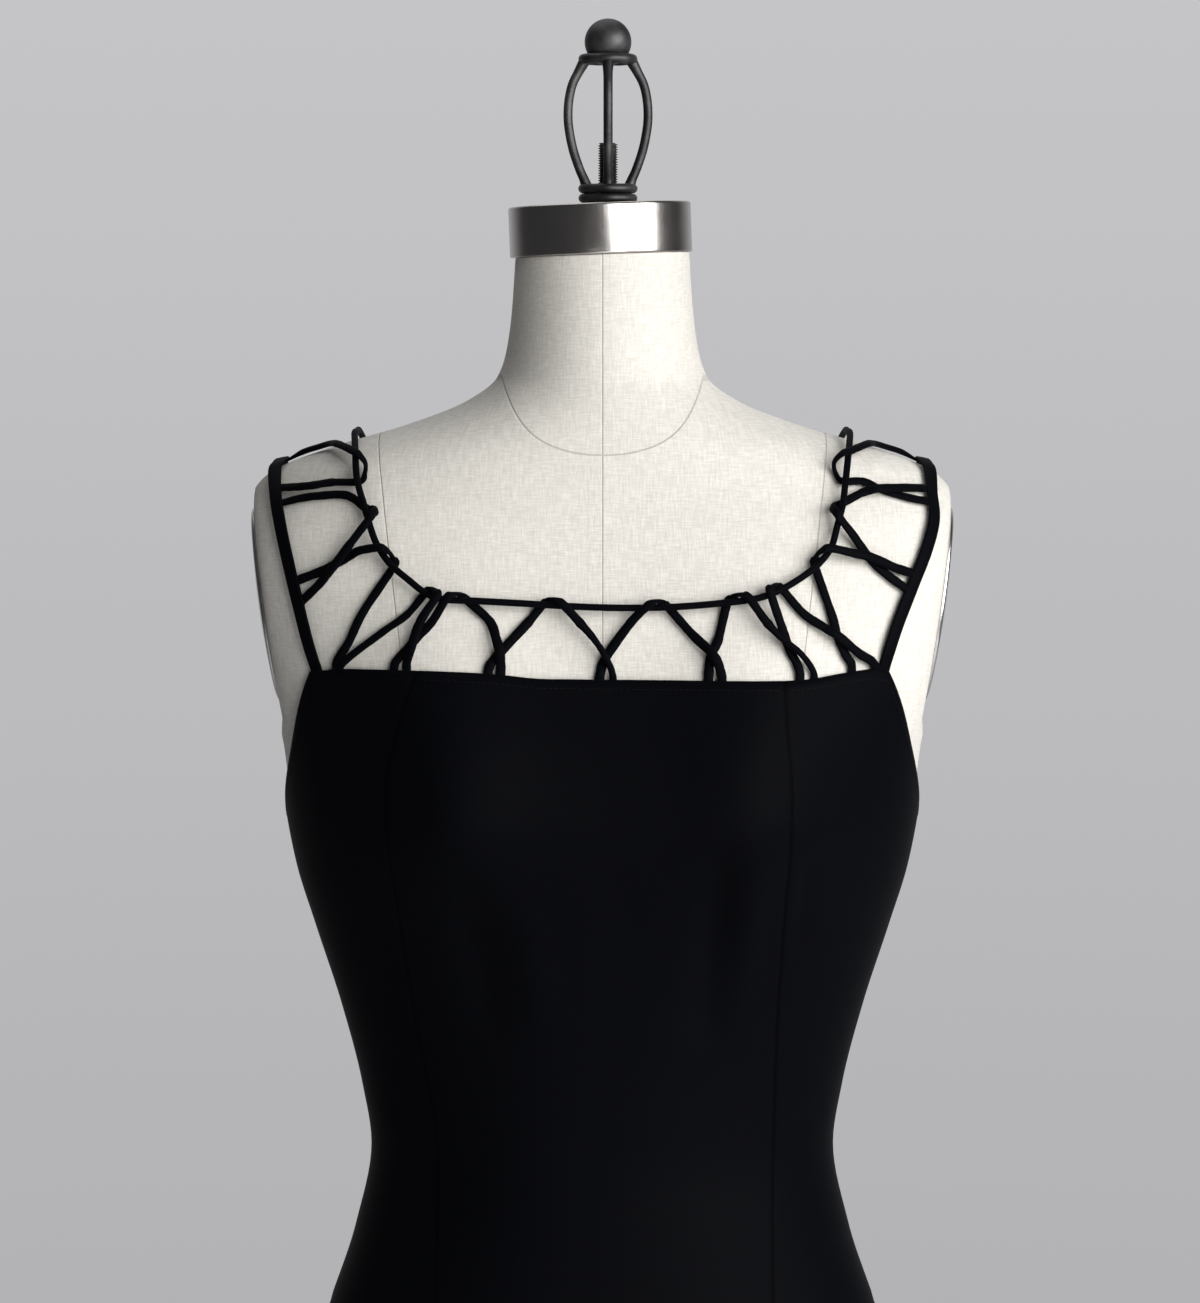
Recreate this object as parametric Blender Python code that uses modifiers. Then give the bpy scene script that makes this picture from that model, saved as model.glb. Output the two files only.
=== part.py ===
"""A black crepe maxi dress with a caged neckline, on a linen dress form with a metal stand.

Metres, +Z up. The front faces -Y and the wearer's left is at +X. The form stands on the floor at Z = 0.
"""

import math

import bmesh
import bpy
from mathutils import Matrix, Vector

# Driving dimensions
MM = 0.001
GAP = 0.3 * MM  # between pieces that touch
SEAM_GAP = 0.4 * MM  # between two panels
EASE = 1.9 * MM  # between the form and the inside of the dress
CLOTH = 1.4 * MM  # wall of the dress, facings and hems included
HEM = 0.055
FORM_BOTTOM = 0.740
NECK_TOP = 1.5072
CAP_TILT = math.radians(2.1)
FINIAL_X = 0.003

CORD_RADIUS = 1.75 * MM
CORD_LIFT = 6.6  # mm from the form to the middle of the neckline cord
LACE_RADIUS = 1.6 * MM
HOOK_RADIUS = 4.3 * MM  # from the middle of the cord to the middle of a lace that hooks round it
HOOK_STEPS = 4
STRAP_WIDTH = 7.4 * MM
STRAP_THICKNESS = 2.0 * MM
STRAP_EASE = 0.4 * MM  # more than the panels have, so that the strap clears the shoulder's curve
ZIP_RADIUS = 0.5 * MM
ZIP_END = 0.965
ZIP_PULL = (2.2 * MM, 1.0 * MM, 6.0 * MM)  # half sizes

PLATE_HEIGHT, PLATE_WIDTH, PLATE_DOME = 0.104, 0.078, 0.0052
CAP_RADIUS, CAP_HEIGHT = 0.048, 0.0264
CAP_X, NECK_AXIS_Y = -0.0006, -0.008
BALL_RADIUS, BALL_Z = 0.0123, 1.6187
WIRE_RADIUS = 0.0024

BASE_RADIUS = 0.210
BASE_THICKNESS = 0.008
FLANGE_RADIUS, FLANGE_HEIGHT = 0.045, 0.022
POLE_RADIUS = 0.016

# The form, section by section: height, half width, front depth, back depth, centre (y), roundness
BODY = (
    (0.7400, 0.1600, 0.0980, 0.1180, 0.000, 2.20),
    (0.7900, 0.1690, 0.1040, 0.1260, 0.000, 2.20),
    (0.8400, 0.1715, 0.1060, 0.1300, 0.000, 2.20),
    (0.8900, 0.1640, 0.1040, 0.1260, 0.000, 2.20),
    (0.9480, 0.1431, 0.0980, 0.1120, 0.000, 2.20),
    (0.9910, 0.1287, 0.0920, 0.1010, 0.000, 2.15),
    (1.0350, 0.1202, 0.0870, 0.0950, 0.000, 2.10),
    (1.0670, 0.1249, 0.0890, 0.0940, 0.000, 2.10),
    (1.1100, 0.1357, 0.0950, 0.0960, 0.000, 2.15),
    (1.1540, 0.1497, 0.1040, 0.1000, 0.000, 2.20),
    (1.1860, 0.1594, 0.1110, 0.1040, 0.000, 2.25),
    (1.2180, 0.1653, 0.1160, 0.1080, 0.000, 2.30),
    (1.2500, 0.1690, 0.1130, 0.1120, 0.000, 2.45),
    (1.2900, 0.1800, 0.1040, 0.1160, 0.000, 2.60),
    (1.3200, 0.1870, 0.0960, 0.1170, 0.000, 2.80),
    (1.3500, 0.1895, 0.0870, 0.1140, 0.000, 2.95),
    (1.3700, 0.1885, 0.0810, 0.1080, 0.000, 2.70),
    (1.3830, 0.1846, 0.0775, 0.1020, 0.000, 2.30),
    (1.3925, 0.1765, 0.0755, 0.0980, 0.000, 2.10),
    (1.4060, 0.1440, 0.0725, 0.0890, 0.000, 2.05),
    (1.4185, 0.1020, 0.0690, 0.0790, 0.000, 2.00),
    (1.4310, 0.0710, 0.0640, 0.0690, 0.000, 2.00),
    (1.4430, 0.0557, 0.0590, 0.0590, 0.000, 2.00),
    (1.4570, 0.0508, 0.0560, 0.0500, -0.001, 2.00),
    (1.4770, 0.0479, 0.0520, 0.0465, -0.004, 2.00),
    (1.5072, 0.0457, 0.0457, 0.0457, -0.008, 2.00),
)
NECK_BASE = 1.443
BUST_X, BUST_Z, BUST_OUT = 0.086, 1.222, 0.022
BUST_WIDTH, BUST_ABOVE, BUST_BELOW = 0.045, 0.075, 0.050

# The skirt below the hip, where it leaves the form: height, half width, front depth, back depth
SKIRT = (
    (HEM, 0.3300, 0.2950, 0.2950),
    (0.2000, 0.3010, 0.2580, 0.2660),
    (0.4000, 0.2640, 0.2120, 0.2280),
    (0.6000, 0.2260, 0.1680, 0.1880),
    (0.7400, 0.2010, 0.1400, 0.1600),
    (0.8400, 0.1810, 0.1190, 0.1400),
    (0.9000, 0.1655, 0.1100, 0.1300),
    (0.9480, 0.1459, 0.1008, 0.1148),
)
SKIRT_TOP = 0.948
FOLDS_START = 0.930
FOLDS = 8
FOLD_DEPTH = 0.030  # at the hem

# The bodice's top edge, across the front from the wearer's right: x, height. The back repeats it
TOP_EDGE = (
    (-0.1510, 1.2925),
    (-0.1300, 1.2950),
    (-0.0910, 1.2955),
    (-0.0600, 1.2945),
    (-0.0285, 1.2915),
    (0.0530, 1.2908),
    (0.0995, 1.2905),
    (0.1265, 1.2935),
    (0.1395, 1.2945),
    (0.1480, 1.2925),
)
UNDERARM = 1.2143
# The princess seams: height, x
SEAM_RIGHT = (
    (HEM, -0.150), (0.60, -0.112), (0.84, -0.092), (0.97, -0.0870), (1.04, -0.0860),
    (1.104, -0.0955), (1.16, -0.1035), (1.232, -0.1105), (1.277, -0.1010), (1.2955, -0.0945),
)
SEAM_LEFT = (
    (HEM, 0.150), (0.60, 0.112), (0.84, 0.092), (0.97, 0.0890), (1.04, 0.0895),
    (1.104, 0.0905), (1.16, 0.0930), (1.232, 0.0965), (1.277, 0.0930), (1.2905, 0.0925),
)
SHARED_ROW = 1.100  # from here down the rows of all the panels are level
UPPER_ROWS = 7
LOWER_ROWS = (
    1.067, 1.035, 1.000, 0.965, 0.930, 0.890, 0.840, 0.770, 0.670, 0.560, 0.440, 0.310, 0.180, HEM,
)
EDGE_LEVEL = 1.293  # about the height of the whole top edge
NECK_COLUMNS, ARM_COLUMNS = 3, 5

# The neckline cord across the front, over both shoulders and back round: x, height in mm
CORD_ROUTE = (
    (-128, 1404), (-126.5, 1391), (-122.5, 1378.5), (-118.5, 1366), (-115, 1358), (-108.5, 1349),
    (-99.5, 1341.5), (-90, 1334.5), (-81, 1331.5), (-66, 1330.8), (-41, 1329.5), (-16, 1328),
    (10, 1327.2), (36, 1327.7), (59.5, 1329.5), (79, 1332), (92.5, 1337), (105, 1344.5),
    (112.5, 1351), (117.5, 1358), (120.5, 1368), (123.5, 1378.5), (125.5, 1391), (127.5, 1404),
)
# Over the top of each shoulder: |x|, y, distance from the form in mm
CORD_RIDGE = ((128.5, -22, 5), (129, 0, 4), (128.5, 24, 5))
RIDGE_LIMIT = 1.405  # above this the front and the back of the shoulder run together
# The outer straps, from the bodice's corner up to the shoulder: x, height in mm
STRAP_RIGHT = (
    (-147.5, 1294.6), (-151.5, 1307.5), (-156, 1324.5), (-161.5, 1346), (-166.5, 1366), (-170, 1381.5),
)
STRAP_LEFT = (
    (145, 1294.8), (147.8, 1304.5), (152, 1317), (160, 1336.5), (168, 1355.5), (172.5, 1371), (172, 1384),
)
STRAP_TOP = ((170, -22), (169, -12), (168.5, -3), (168.5, 6), (169, 15), (170, 24))

# The laces: feet and bends as x, height, distance from the form in mm, and between them the hook round
# the cord as x, height, length along the cord, "over" where the first leg passes in front of the cord
LACES = {
    "left_1": (
        ((-1, 1294, 2.5), (2, 1302.5, 2.5), (14.5, 1320, 6.5)), (28.5, 1328, 11, "over"),
        ((45.5, 1314, 2.8), (56.5, 1303.5, 6.4), (60.2, 1294.5, 3))),
    "left_2": (
        ((54, 1294, 2.5), (55, 1302.5, 2.5), (59, 1311.5, 2.5)), (69, 1330.5, 11, "under"),
        ((84, 1319.5, 8), (92, 1311.5, 7), (101, 1304, 6.4), (107.3, 1295, 3))),
    "left_3": (
        ((100.5, 1294, 2.5), (99, 1299, 2.5), (95, 1306.5, 2.5), (91.5, 1317, 4.5)), (89, 1335, 8, "over"),
        ((102.5, 1324, 2.5), (113, 1317, 4.2), (120.5, 1312.5, 6.4), (131, 1303.5, 4.8), (138.5, 1298.5, 3))),
    "left_4": (
        ((127.5, 1297.5, 2.5), (124.5, 1302.5, 2.5), (120.5, 1311.5, 2.5), (117, 1324, 2.5)),
        (113, 1352, 11, "under"),
        ((129.5, 1354, 7.5), (138, 1352, 6.4), (150, 1346.5, 4.5), (158.5, 1343.5, 3))),
    "left_5": (
        ((155.5, 1336, 3), (146, 1343, 2.5), (137.5, 1351, 2.5), (128.5, 1363.5, 5.5)),
        (122, 1376, 12, "over"),
        ((134.5, 1384.5, 4), (143.5, 1386.5, 6.8), (157, 1386.5, 5), (167, 1386, 3))),
    "left_6": (
        ((168.5, 1379.5, 3), (158.5, 1381.5, 2.5), (144, 1386, 2.5), (135, 1390, 2.5)),
        (126.6, 1398.5, 16, "under"),
        ()),
    "right_1": (
        ((-57.4, 1297.5, 2.5), (-53, 1303.5, 2.5), (-37.5, 1320, 2.5)), (-25.5, 1328.5, 11, "under"),
        ((-11.5, 1320, 8.5), (-4.5, 1312, 7.2), (1.5, 1303, 6.8), (5, 1294.5, 3.4))),
    "right_2": (
        ((-105.5, 1299, 2.5), (-100, 1305.5, 2.5), (-93, 1313.5, 2.5), (-86.5, 1320.5, 4.5)),
        (-73.5, 1331, 11, "over"),
        ((-57.5, 1320.5, 2.5), (-54, 1312, 5), (-52, 1304.5, 6.4), (-51.6, 1298, 3))),
    "right_3": (
        ((-131.5, 1299.5, 2.9), (-112, 1314.5, 2.6), (-99.5, 1323.5, 2.5)), (-87.5, 1333.7, 8, "under"),
        ((-91.5, 1322.5, 8.5), (-95, 1314.5, 6.6), (-97.5, 1306, 5.8), (-99.5, 1299.5, 3))),
    "right_4": (
        ((-136, 1299, 2.5), (-130, 1308.5, 2.5), (-122.5, 1324, 2.5)), (-111, 1352, -11, "under"),
        ((-124.5, 1355.5, 7), (-130.5, 1352, 3.2), (-137.5, 1348, 2.5), (-144.5, 1344.5, 2.5),
         (-154.5, 1340.5, 3))),
    "right_5": (
        ((-152, 1331.5, 3), (-144.5, 1339, 4.5), (-137, 1348.5, 6.8), (-129.5, 1358.5, 8.4)),
        (-120, 1374.5, -11, "over"),
        ((-132, 1383, 2.5), (-147, 1382.5, 2.5), (-157, 1381, 2.5), (-163, 1379.5, 3))),
    "right_6": (
        ((-163.5, 1386.5, 3), (-157.5, 1387, 5), (-149.5, 1388, 6), (-140, 1389.5, 4.2)),
        (-126.9, 1398.5, -16, "under"),
        ()),
}
# The last lace's upper leg lies along the top of the shoulder: |x|, y, distance from the form in mm
SHOULDER_LEG = ((135, -36, 6.8), (141, -20, 3.8), (149, -9, 2.8), (158, 0, 2.6))


# The finish of each kind of piece: colour, roughness, metallic
CREPE = ("black_crepe", (0.006, 0.006, 0.008), 0.85, 0.0)
LINEN = ("natural_linen", (0.62, 0.59, 0.53), 0.9, 0.0)
NICKEL = ("brushed_nickel", (0.50, 0.49, 0.47), 0.32, 1.0)
STEEL = ("blackened_steel", (0.06, 0.058, 0.056), 0.45, 1.0)
CHROME = ("polished_plate", (0.70, 0.70, 0.70), 0.18, 1.0)
ZIP_BLACK = ("black_zip", (0.008, 0.008, 0.01), 0.4, 0.0)

for old in list(bpy.data.objects):
    bpy.data.objects.remove(old, do_unlink=True)

dress_and_form = bpy.data.collections.new("maxi_dress")
cutters = bpy.data.collections.new("cutters")
bpy.context.scene.collection.children.link(dress_and_form)
bpy.context.scene.collection.children.link(cutters)


def smooth(rows, where):
    """The values beside `where` in a table whose first column rises, along a curve with no overshoot."""
    where = min(max(where, rows[0][0]), rows[-1][0])
    step = next(k for k in range(len(rows) - 1) if where <= rows[k + 1][0])
    reach = rows[step + 1][0] - rows[step][0]
    t = (where - rows[step][0]) / reach

    def rise(k, column):
        return (rows[k + 1][column] - rows[k][column]) / (rows[k + 1][0] - rows[k][0])

    def slope(k, column):
        if k == 0 or k == len(rows) - 1:
            return rise(min(k, len(rows) - 2), column)
        before, after = rise(k - 1, column), rise(k, column)
        return 2 * before * after / (before + after) if before * after > 0 else 0.0

    values = []
    for column in range(1, len(rows[0])):
        low, high = rows[step][column], rows[step + 1][column]
        start, end = slope(step, column) * reach, slope(step + 1, column) * reach
        values.append(
            (2 * t**3 - 3 * t**2 + 1) * low + (t**3 - 2 * t**2 + t) * start
            + (3 * t**2 - 2 * t**3) * high + (t**3 - t**2) * end
        )
    return values


def bust(x, z):
    """How far the bust stands out from the form's plain section."""
    height = BUST_ABOVE if z > BUST_Z else BUST_BELOW
    return BUST_OUT * math.exp(-(((abs(x) - BUST_X) / BUST_WIDTH) ** 2) - ((z - BUST_Z) / height) ** 2)


def form_y(x, z, side):
    """The form's surface at x and height z: side -1 is the front and 1 the back."""
    half_width, front, back, centre, roundness = smooth(BODY, z)
    depth = front if side < 0 else back
    across = min(abs(x) / half_width, 1.0)
    if side < 0:
        depth += bust(x, z)
    return centre + side * depth * (1 - across**roundness) ** (1 / roundness)


def form_normal(x, z, side):
    """The direction straight out of the form's surface."""
    step = 0.5 * MM
    slope_x = (form_y(x + step, z, side) - form_y(x - step, z, side)) / (2 * step)
    slope_z = (form_y(x, z + step, side) - form_y(x, z - step, side)) / (2 * step)
    return Vector((-side * slope_x, side, -side * slope_z)).normalized()


def off_form(x, z, lift, side):
    """The point seen at x and height z that stands `lift` from the form's surface."""
    foot_x, foot_z = x, z
    for _ in range(8):
        away = form_normal(foot_x, foot_z, side)
        foot_x, foot_z = x - lift * away.x, z - lift * away.z
    away = form_normal(foot_x, foot_z, side)
    return Vector((foot_x, form_y(foot_x, foot_z, side), foot_z)) + lift * away


def over_shoulder(x, y, lift):
    """The point `lift` from the top of the shoulder at x and y."""
    side = 1 if y > 0 else -1
    low, high = 1.30, 1.45
    for _ in range(30):
        middle = (low + high) / 2
        inside = abs(x) < smooth(BODY, middle)[0] and abs(form_y(x, middle, side)) > abs(y)
        low, high = (middle, high) if inside else (low, middle)
    return Vector((x, y, low)) + lift * form_normal(x, low - 0.5 * MM, side)


def material(finish):
    name, colour, roughness, metallic = finish
    made = bpy.data.materials.get(name)
    if made is None:
        made = bpy.data.materials.new(name)
        made.use_nodes = True
        shader = made.node_tree.nodes["Principled BSDF"]
        shader.inputs["Base Color"].default_value = (*colour, 1)
        shader.inputs["Roughness"].default_value = roughness
        shader.inputs["Metallic"].default_value = metallic
    return made


def add_object(name, data, finish, collection=dress_and_form):
    piece = bpy.data.objects.new(name, data)
    collection.objects.link(piece)
    if finish:
        data.materials.append(material(finish))
    return piece


def add_mesh(name, work, finish, collection=dress_and_form):
    mesh = bpy.data.meshes.new(name)
    work.to_mesh(mesh)
    work.free()
    mesh.shade_smooth()
    mesh.set_sharp_from_angle(angle=math.radians(40))
    return add_object(name, mesh, finish, collection)


def tube(name, points, radius, finish, closed=False, sides=1):
    curve = bpy.data.curves.new(name, "CURVE")
    curve.dimensions = "3D"
    curve.bevel_depth = radius
    curve.bevel_resolution = sides
    curve.use_fill_caps = not closed
    spline = curve.splines.new("POLY")
    spline.points.add(len(points) - 1)
    for place, point in zip(spline.points, points):
        place.co = (*point, 1)
    spline.use_cyclic_u = closed
    return add_object(name, curve, finish)


def turned(name, profile, finish, steps, place=(0, 0, 0), tilt=0.0):
    """A profile of radius and height, from the top down its outer side, turned about its own upright axis."""
    mesh = bpy.data.meshes.new(name)
    points = [(radius, 0, height) for radius, height in profile]
    mesh.from_pydata(points, [(k, k + 1) for k in range(len(points) - 1)], [])
    piece = add_object(name, mesh, finish)
    piece.location = place
    piece.rotation_euler.y = tilt
    screw = piece.modifiers.new("turn", "SCREW")
    screw.steps = screw.render_steps = steps
    screw.use_merge_vertices = True
    screw.merge_threshold = 0.00005
    screw.use_smooth_shade = True
    return piece


# ---- The dress: panels ----


def skirt_fold(around, z):
    """How far the folds stand out: they start at the hip and deepen to the hem."""
    drop = min(max((FOLDS_START - z) / (FOLDS_START - HEM), 0.0), 1.0)
    turned_by = around + 0.05 * math.sin(2 * around)
    depth = FOLD_DEPTH * (1 + 0.25 * math.sin(2 * around + 0.4 * math.sin(4 * around)))
    return depth * drop**1.3 * (0.5 + 0.5 * math.cos(FOLDS * turned_by))


def cloth_point(around, z):
    """A point of the dress's outer face. `around` runs from -90 degrees at the front to 90 at the back."""
    if z < SKIRT_TOP:
        half_width, front, back = smooth(SKIRT, z)
        centre, roundness = 0.0, 2.2 - 0.2 * (SKIRT_TOP - z) / (SKIRT_TOP - HEM)
    else:
        half_width, front, back, centre, roundness = smooth(BODY, z)
        half_width, front, back = (value + EASE + CLOTH for value in (half_width, front, back))
    fold = skirt_fold(around, z)
    power = 2 / roundness
    x = (half_width + fold) * math.copysign(abs(math.cos(around)) ** power, math.cos(around))
    if math.sin(around) > 0:
        return Vector((x, centre + (back + fold) * math.sin(around) ** power, z))
    # The cloth is taut from one bust point to the other
    bridge = 0.007 * math.exp(-((x / 0.055) ** 2) - ((z - BUST_Z) / 0.06) ** 2)
    depth = front + fold + bust(x, z) + bridge
    return Vector((x, centre - depth * abs(math.sin(around)) ** power, z))


def cloth_inward(around, z):
    """The direction from the dress's outer face towards its inner one."""
    turn, rise = math.radians(0.5), 1 * MM
    across = cloth_point(around + turn, z) - cloth_point(around - turn, z)
    up = cloth_point(around, z + rise) - cloth_point(around, z - rise)
    return up.cross(across).normalized()


def around_at(x, z, side):
    """The angle at which the dress's outer face is at x, on the front or the back."""
    low, high = 0.0, math.pi / 2
    for _ in range(40):
        middle = (low + high) / 2
        low, high = (middle, high) if cloth_point(side * middle, z).x > abs(x) else (low, middle)
    return side * low if x > 0 else side * (math.pi - low)


def edge_height(x):
    """The height of the bodice's top edge."""
    return smooth(TOP_EDGE, x)[0]


CORNER = {"left": TOP_EDGE[-1], "right": TOP_EDGE[0]}
PRINCESS = {"left": SEAM_LEFT, "right": SEAM_RIGHT}


def seam(kind, side, z):
    """The angle of a seam at height z: a princess seam, a side seam or the centre back."""
    if kind == "side":
        return 0.0 if side == "left" else -math.pi
    if kind == "centre_back":
        return math.pi / 2 if side == "left" else -1.5 * math.pi
    x = smooth(PRINCESS[side], z)[0]
    if kind == "front_princess":
        return around_at(x, z, -1)
    return around_at(x, z, 1) - (0 if side == "left" else 2 * math.pi)


def seam_top(kind, side):
    """The height at which a seam ends above."""
    if kind == "side":
        return UNDERARM
    return edge_height(0 if kind == "centre_back" else PRINCESS[side][-1][1])


def armhole_height(portion, side):
    """The armhole from the underarm (portion 0) up to the bodice's corner (portion 1)."""
    rounding = 0.2
    rise = (math.hypot(portion, rounding) - rounding) / (math.hypot(1, rounding) - rounding)
    return UNDERARM + (CORNER[side][1] - UNDERARM) * rise


def rows_from(top):
    """The heights of a panel's rows from its upper edge to the hem."""
    upper = [top + (SHARED_ROW - top) * k / UPPER_ROWS for k in range(UPPER_ROWS)]
    return [*upper, SHARED_ROW, *LOWER_ROWS]


def column(start, end, portion, top):
    """Points of the outer and inner faces from the upper edge to the hem, always the same portion of the
    way between two seams."""
    first_rows, last_rows = rows_from(seam_top(*start)), rows_from(seam_top(*end))
    points = []
    for row, z in enumerate(rows_from(top)):
        first, last = seam(*start, first_rows[row]), seam(*end, last_rows[row])
        around = first + (last - first) * portion
        outer = cloth_point(around, z)
        points.append((outer, outer + CLOTH * cloth_inward(around, z)))
    return points


def panel(name, start, end, portions_and_tops, gaps=(SEAM_GAP / 2, SEAM_GAP / 2)):
    """A panel between two seams, each given as (kind, side), drawn back from them by the gaps."""
    grid = [column(start, end, portion, top) for portion, top in portions_and_tops]
    for edge, inner, gap in ((0, 1, gaps[0]), (-1, -2, gaps[1])):
        moved = []
        for (outer, lining), (towards, _) in zip(grid[edge], grid[inner]):
            away = (lining - outer).normalized()
            step = towards - outer
            step = (step - away * step.dot(away)).normalized() * gap
            moved.append((outer + step, lining + step))
        grid[edge] = moved
    if seam(*end, SHARED_ROW) < seam(*start, SHARED_ROW):
        grid.reverse()
    work = bmesh.new()
    outer = [[work.verts.new(pair[0]) for pair in line] for line in grid]
    inner = [[work.verts.new(pair[1]) for pair in line] for line in grid]
    last = len(grid[0]) - 1
    for k in range(len(grid) - 1):
        for row in range(last):
            work.faces.new((outer[k][row], outer[k][row + 1], outer[k + 1][row + 1], outer[k + 1][row]))
            work.faces.new((inner[k][row], inner[k + 1][row], inner[k + 1][row + 1], inner[k][row + 1]))
        work.faces.new((outer[k][0], outer[k + 1][0], inner[k + 1][0], inner[k][0]))
        work.faces.new((outer[k + 1][last], outer[k][last], inner[k][last], inner[k + 1][last]))
    for row in range(last):
        work.faces.new((outer[0][row + 1], outer[0][row], inner[0][row], inner[0][row + 1]))
        work.faces.new((outer[-1][row], outer[-1][row + 1], inner[-1][row + 1], inner[-1][row]))
    add_mesh(name, work, CREPE)


def neckline_panel(name, start, end, count, gaps=(SEAM_GAP / 2, SEAM_GAP / 2)):
    """A panel whose whole upper edge is part of the neckline."""
    first, last = seam(*start, seam_top(*start)), seam(*end, seam_top(*end))
    arounds = [first + (last - first) * k / count for k in range(count + 1)]
    tops = [edge_height(cloth_point(around, EDGE_LEVEL).x) for around in arounds]
    tops[0], tops[-1] = seam_top(*start), seam_top(*end)
    panel(name, start, end, [(k / count, top) for k, top in enumerate(tops)], gaps)


def armhole_panel(name, kind, side):
    """A side panel: a stretch of the neckline, the bodice's corner, then half of the armhole."""
    start, end = (kind, side), ("side", side)
    first, last = seam(*start, seam_top(*start)), seam(*end, UNDERARM)
    corner = around_at(*CORNER[side], -1 if kind == "front_princess" else 1)
    if side == "right" and corner > 0:
        corner -= 2 * math.pi
    shape = [(0.0, seam_top(*start))]
    for k in range(1, NECK_COLUMNS + 1):
        around = first + (corner - first) * k / NECK_COLUMNS
        shape.append(((around - first) / (last - first), edge_height(cloth_point(around, EDGE_LEVEL).x)))
    for k in range(1, ARM_COLUMNS + 1):
        portion = 1 - k / ARM_COLUMNS
        around = last + (corner - last) * portion
        shape.append(((around - first) / (last - first), armhole_height(portion, side)))
    panel(name, start, end, shape)


neckline_panel("front_centre_panel", ("front_princess", "right"), ("front_princess", "left"), 12)
for side in ("left", "right"):
    armhole_panel(f"side_front_panel_{side}", "front_princess", side)
    armhole_panel(f"side_back_panel_{side}", "back_princess", side)
    gaps = (SEAM_GAP / 2, ZIP_RADIUS + GAP)
    neckline_panel(f"centre_back_panel_{side}", ("back_princess", side), ("centre_back", side), 5, gaps)

# ---- The dress: centre-back zip ----

zip_rows = [z for z in rows_from(edge_height(0)) if z >= ZIP_END]
zip_line = [cloth_point(math.pi / 2, z) - Vector((0, CLOTH / 2, 0)) for z in zip_rows]
tube("back_zip", zip_line, ZIP_RADIUS, ZIP_BLACK)

pull = bmesh.new()
bmesh.ops.create_uvsphere(pull, u_segments=10, v_segments=6, radius=1.0)
bmesh.ops.scale(pull, vec=ZIP_PULL, verts=pull.verts)
pull_at = cloth_point(math.pi / 2, edge_height(0) - 2 * ZIP_PULL[2]) + Vector((0, ZIP_PULL[1] + 2 * GAP, 0))
bmesh.ops.translate(pull, vec=pull_at, verts=pull.verts)
add_mesh("zip_pull", pull, ZIP_BLACK)

# ---- The dress: outer straps ----


def strap(name, front_route, side_sign):
    """A flat strap that lies over the shoulder, from the front corner of the bodice to the back one."""
    lift = EASE + STRAP_THICKNESS / 2 + STRAP_EASE
    front = [off_form(x * MM, z * MM, lift, -1) for x, z in front_route]
    top = [over_shoulder(side_sign * x * MM, y * MM, lift) for x, y in STRAP_TOP]
    back = [off_form(x * MM, z * MM, lift, 1) for x, z in reversed(front_route)]
    middle = front + top + back
    work = bmesh.new()
    rows = []
    for k, place in enumerate(middle):
        along = (middle[min(k + 1, len(middle) - 1)] - middle[max(k - 1, 0)]).normalized()
        if len(front) <= k < len(front) + len(top):
            out = Vector((side_sign * 0.2, 0, 1)).normalized()
        else:
            out = form_normal(place.x, place.z, -1 if k < len(front) else 1)
        across = along.cross(out).normalized() * STRAP_WIDTH / 2
        rows.append([work.verts.new(place + across * step) for step in (-1, 0, 1)])
    for upper, lower in zip(rows, rows[1:]):
        for k in range(2):
            work.faces.new((upper[k], upper[k + 1], lower[k + 1], lower[k]))
    shell = add_mesh(name, work, CREPE).modifiers.new("cloth", "SOLIDIFY")
    shell.thickness = STRAP_THICKNESS
    shell.offset = 0


strap("shoulder_strap_left", STRAP_LEFT, 1)
strap("shoulder_strap_right", STRAP_RIGHT, -1)

# ---- The dress: neckline cord and its laces ----


def cord_run(side):
    """The cord across the front or the back."""
    return [off_form(x * MM, z * MM, CORD_LIFT * MM, side) for x, z in CORD_ROUTE]


def ridge_run(sign):
    """The cord over the top of one shoulder, from front to back."""
    return [over_shoulder(sign * x * MM, y * MM, lift * MM) for x, y, lift in CORD_RIDGE]


cord = [*cord_run(-1), *ridge_run(1), *reversed(cord_run(1)), *reversed(ridge_run(-1))]
tube("neckline_cord", cord, CORD_RADIUS, CREPE, closed=True)


def cord_spot(distance):
    """The cord's point and direction at a distance along it from its start."""
    k = 0
    while distance > (cord[k + 1] - cord[k]).length:
        distance -= (cord[k + 1] - cord[k]).length
        k += 1
    along = (cord[k + 1] - cord[k]).normalized()
    return cord[k] + along * distance, along


def nearest_on_cord(target):
    """How far along the cord its nearest point to `target` lies."""
    best, walked = (math.inf, 0.0), 0.0
    for here, after in zip(cord, cord[1:]):
        reach = (after - here).length
        portion = min(max((target - here).dot(after - here) / reach, 0.0), reach)
        away = (target - here - (after - here) * portion / reach).length
        best = min(best, (away, walked + portion))
        walked += reach
    return best[1]


def hook(x, z, length, order, side):
    """Points of a half turn round the cord, from the first leg to the second."""
    middle = nearest_on_cord(off_form(x * MM, z * MM, CORD_LIFT * MM, side))
    length *= -side * MM  # the cord runs back the other way behind the neck
    points = []
    for step in range(HOOK_STEPS + 1):
        centre, along = cord_spot(middle + length * (step / HOOK_STEPS - 0.5))
        out = form_normal(centre.x, min(centre.z, RIDGE_LIMIT), side)
        inward = out.cross(along).normalized()
        out = along.cross(inward).normalized()
        turn = math.pi * (step / HOOK_STEPS if order == "over" else 1 - step / HOOK_STEPS)
        points.append(centre + HOOK_RADIUS * (out * math.cos(turn) + inward * math.sin(turn)))
    return points


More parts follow.
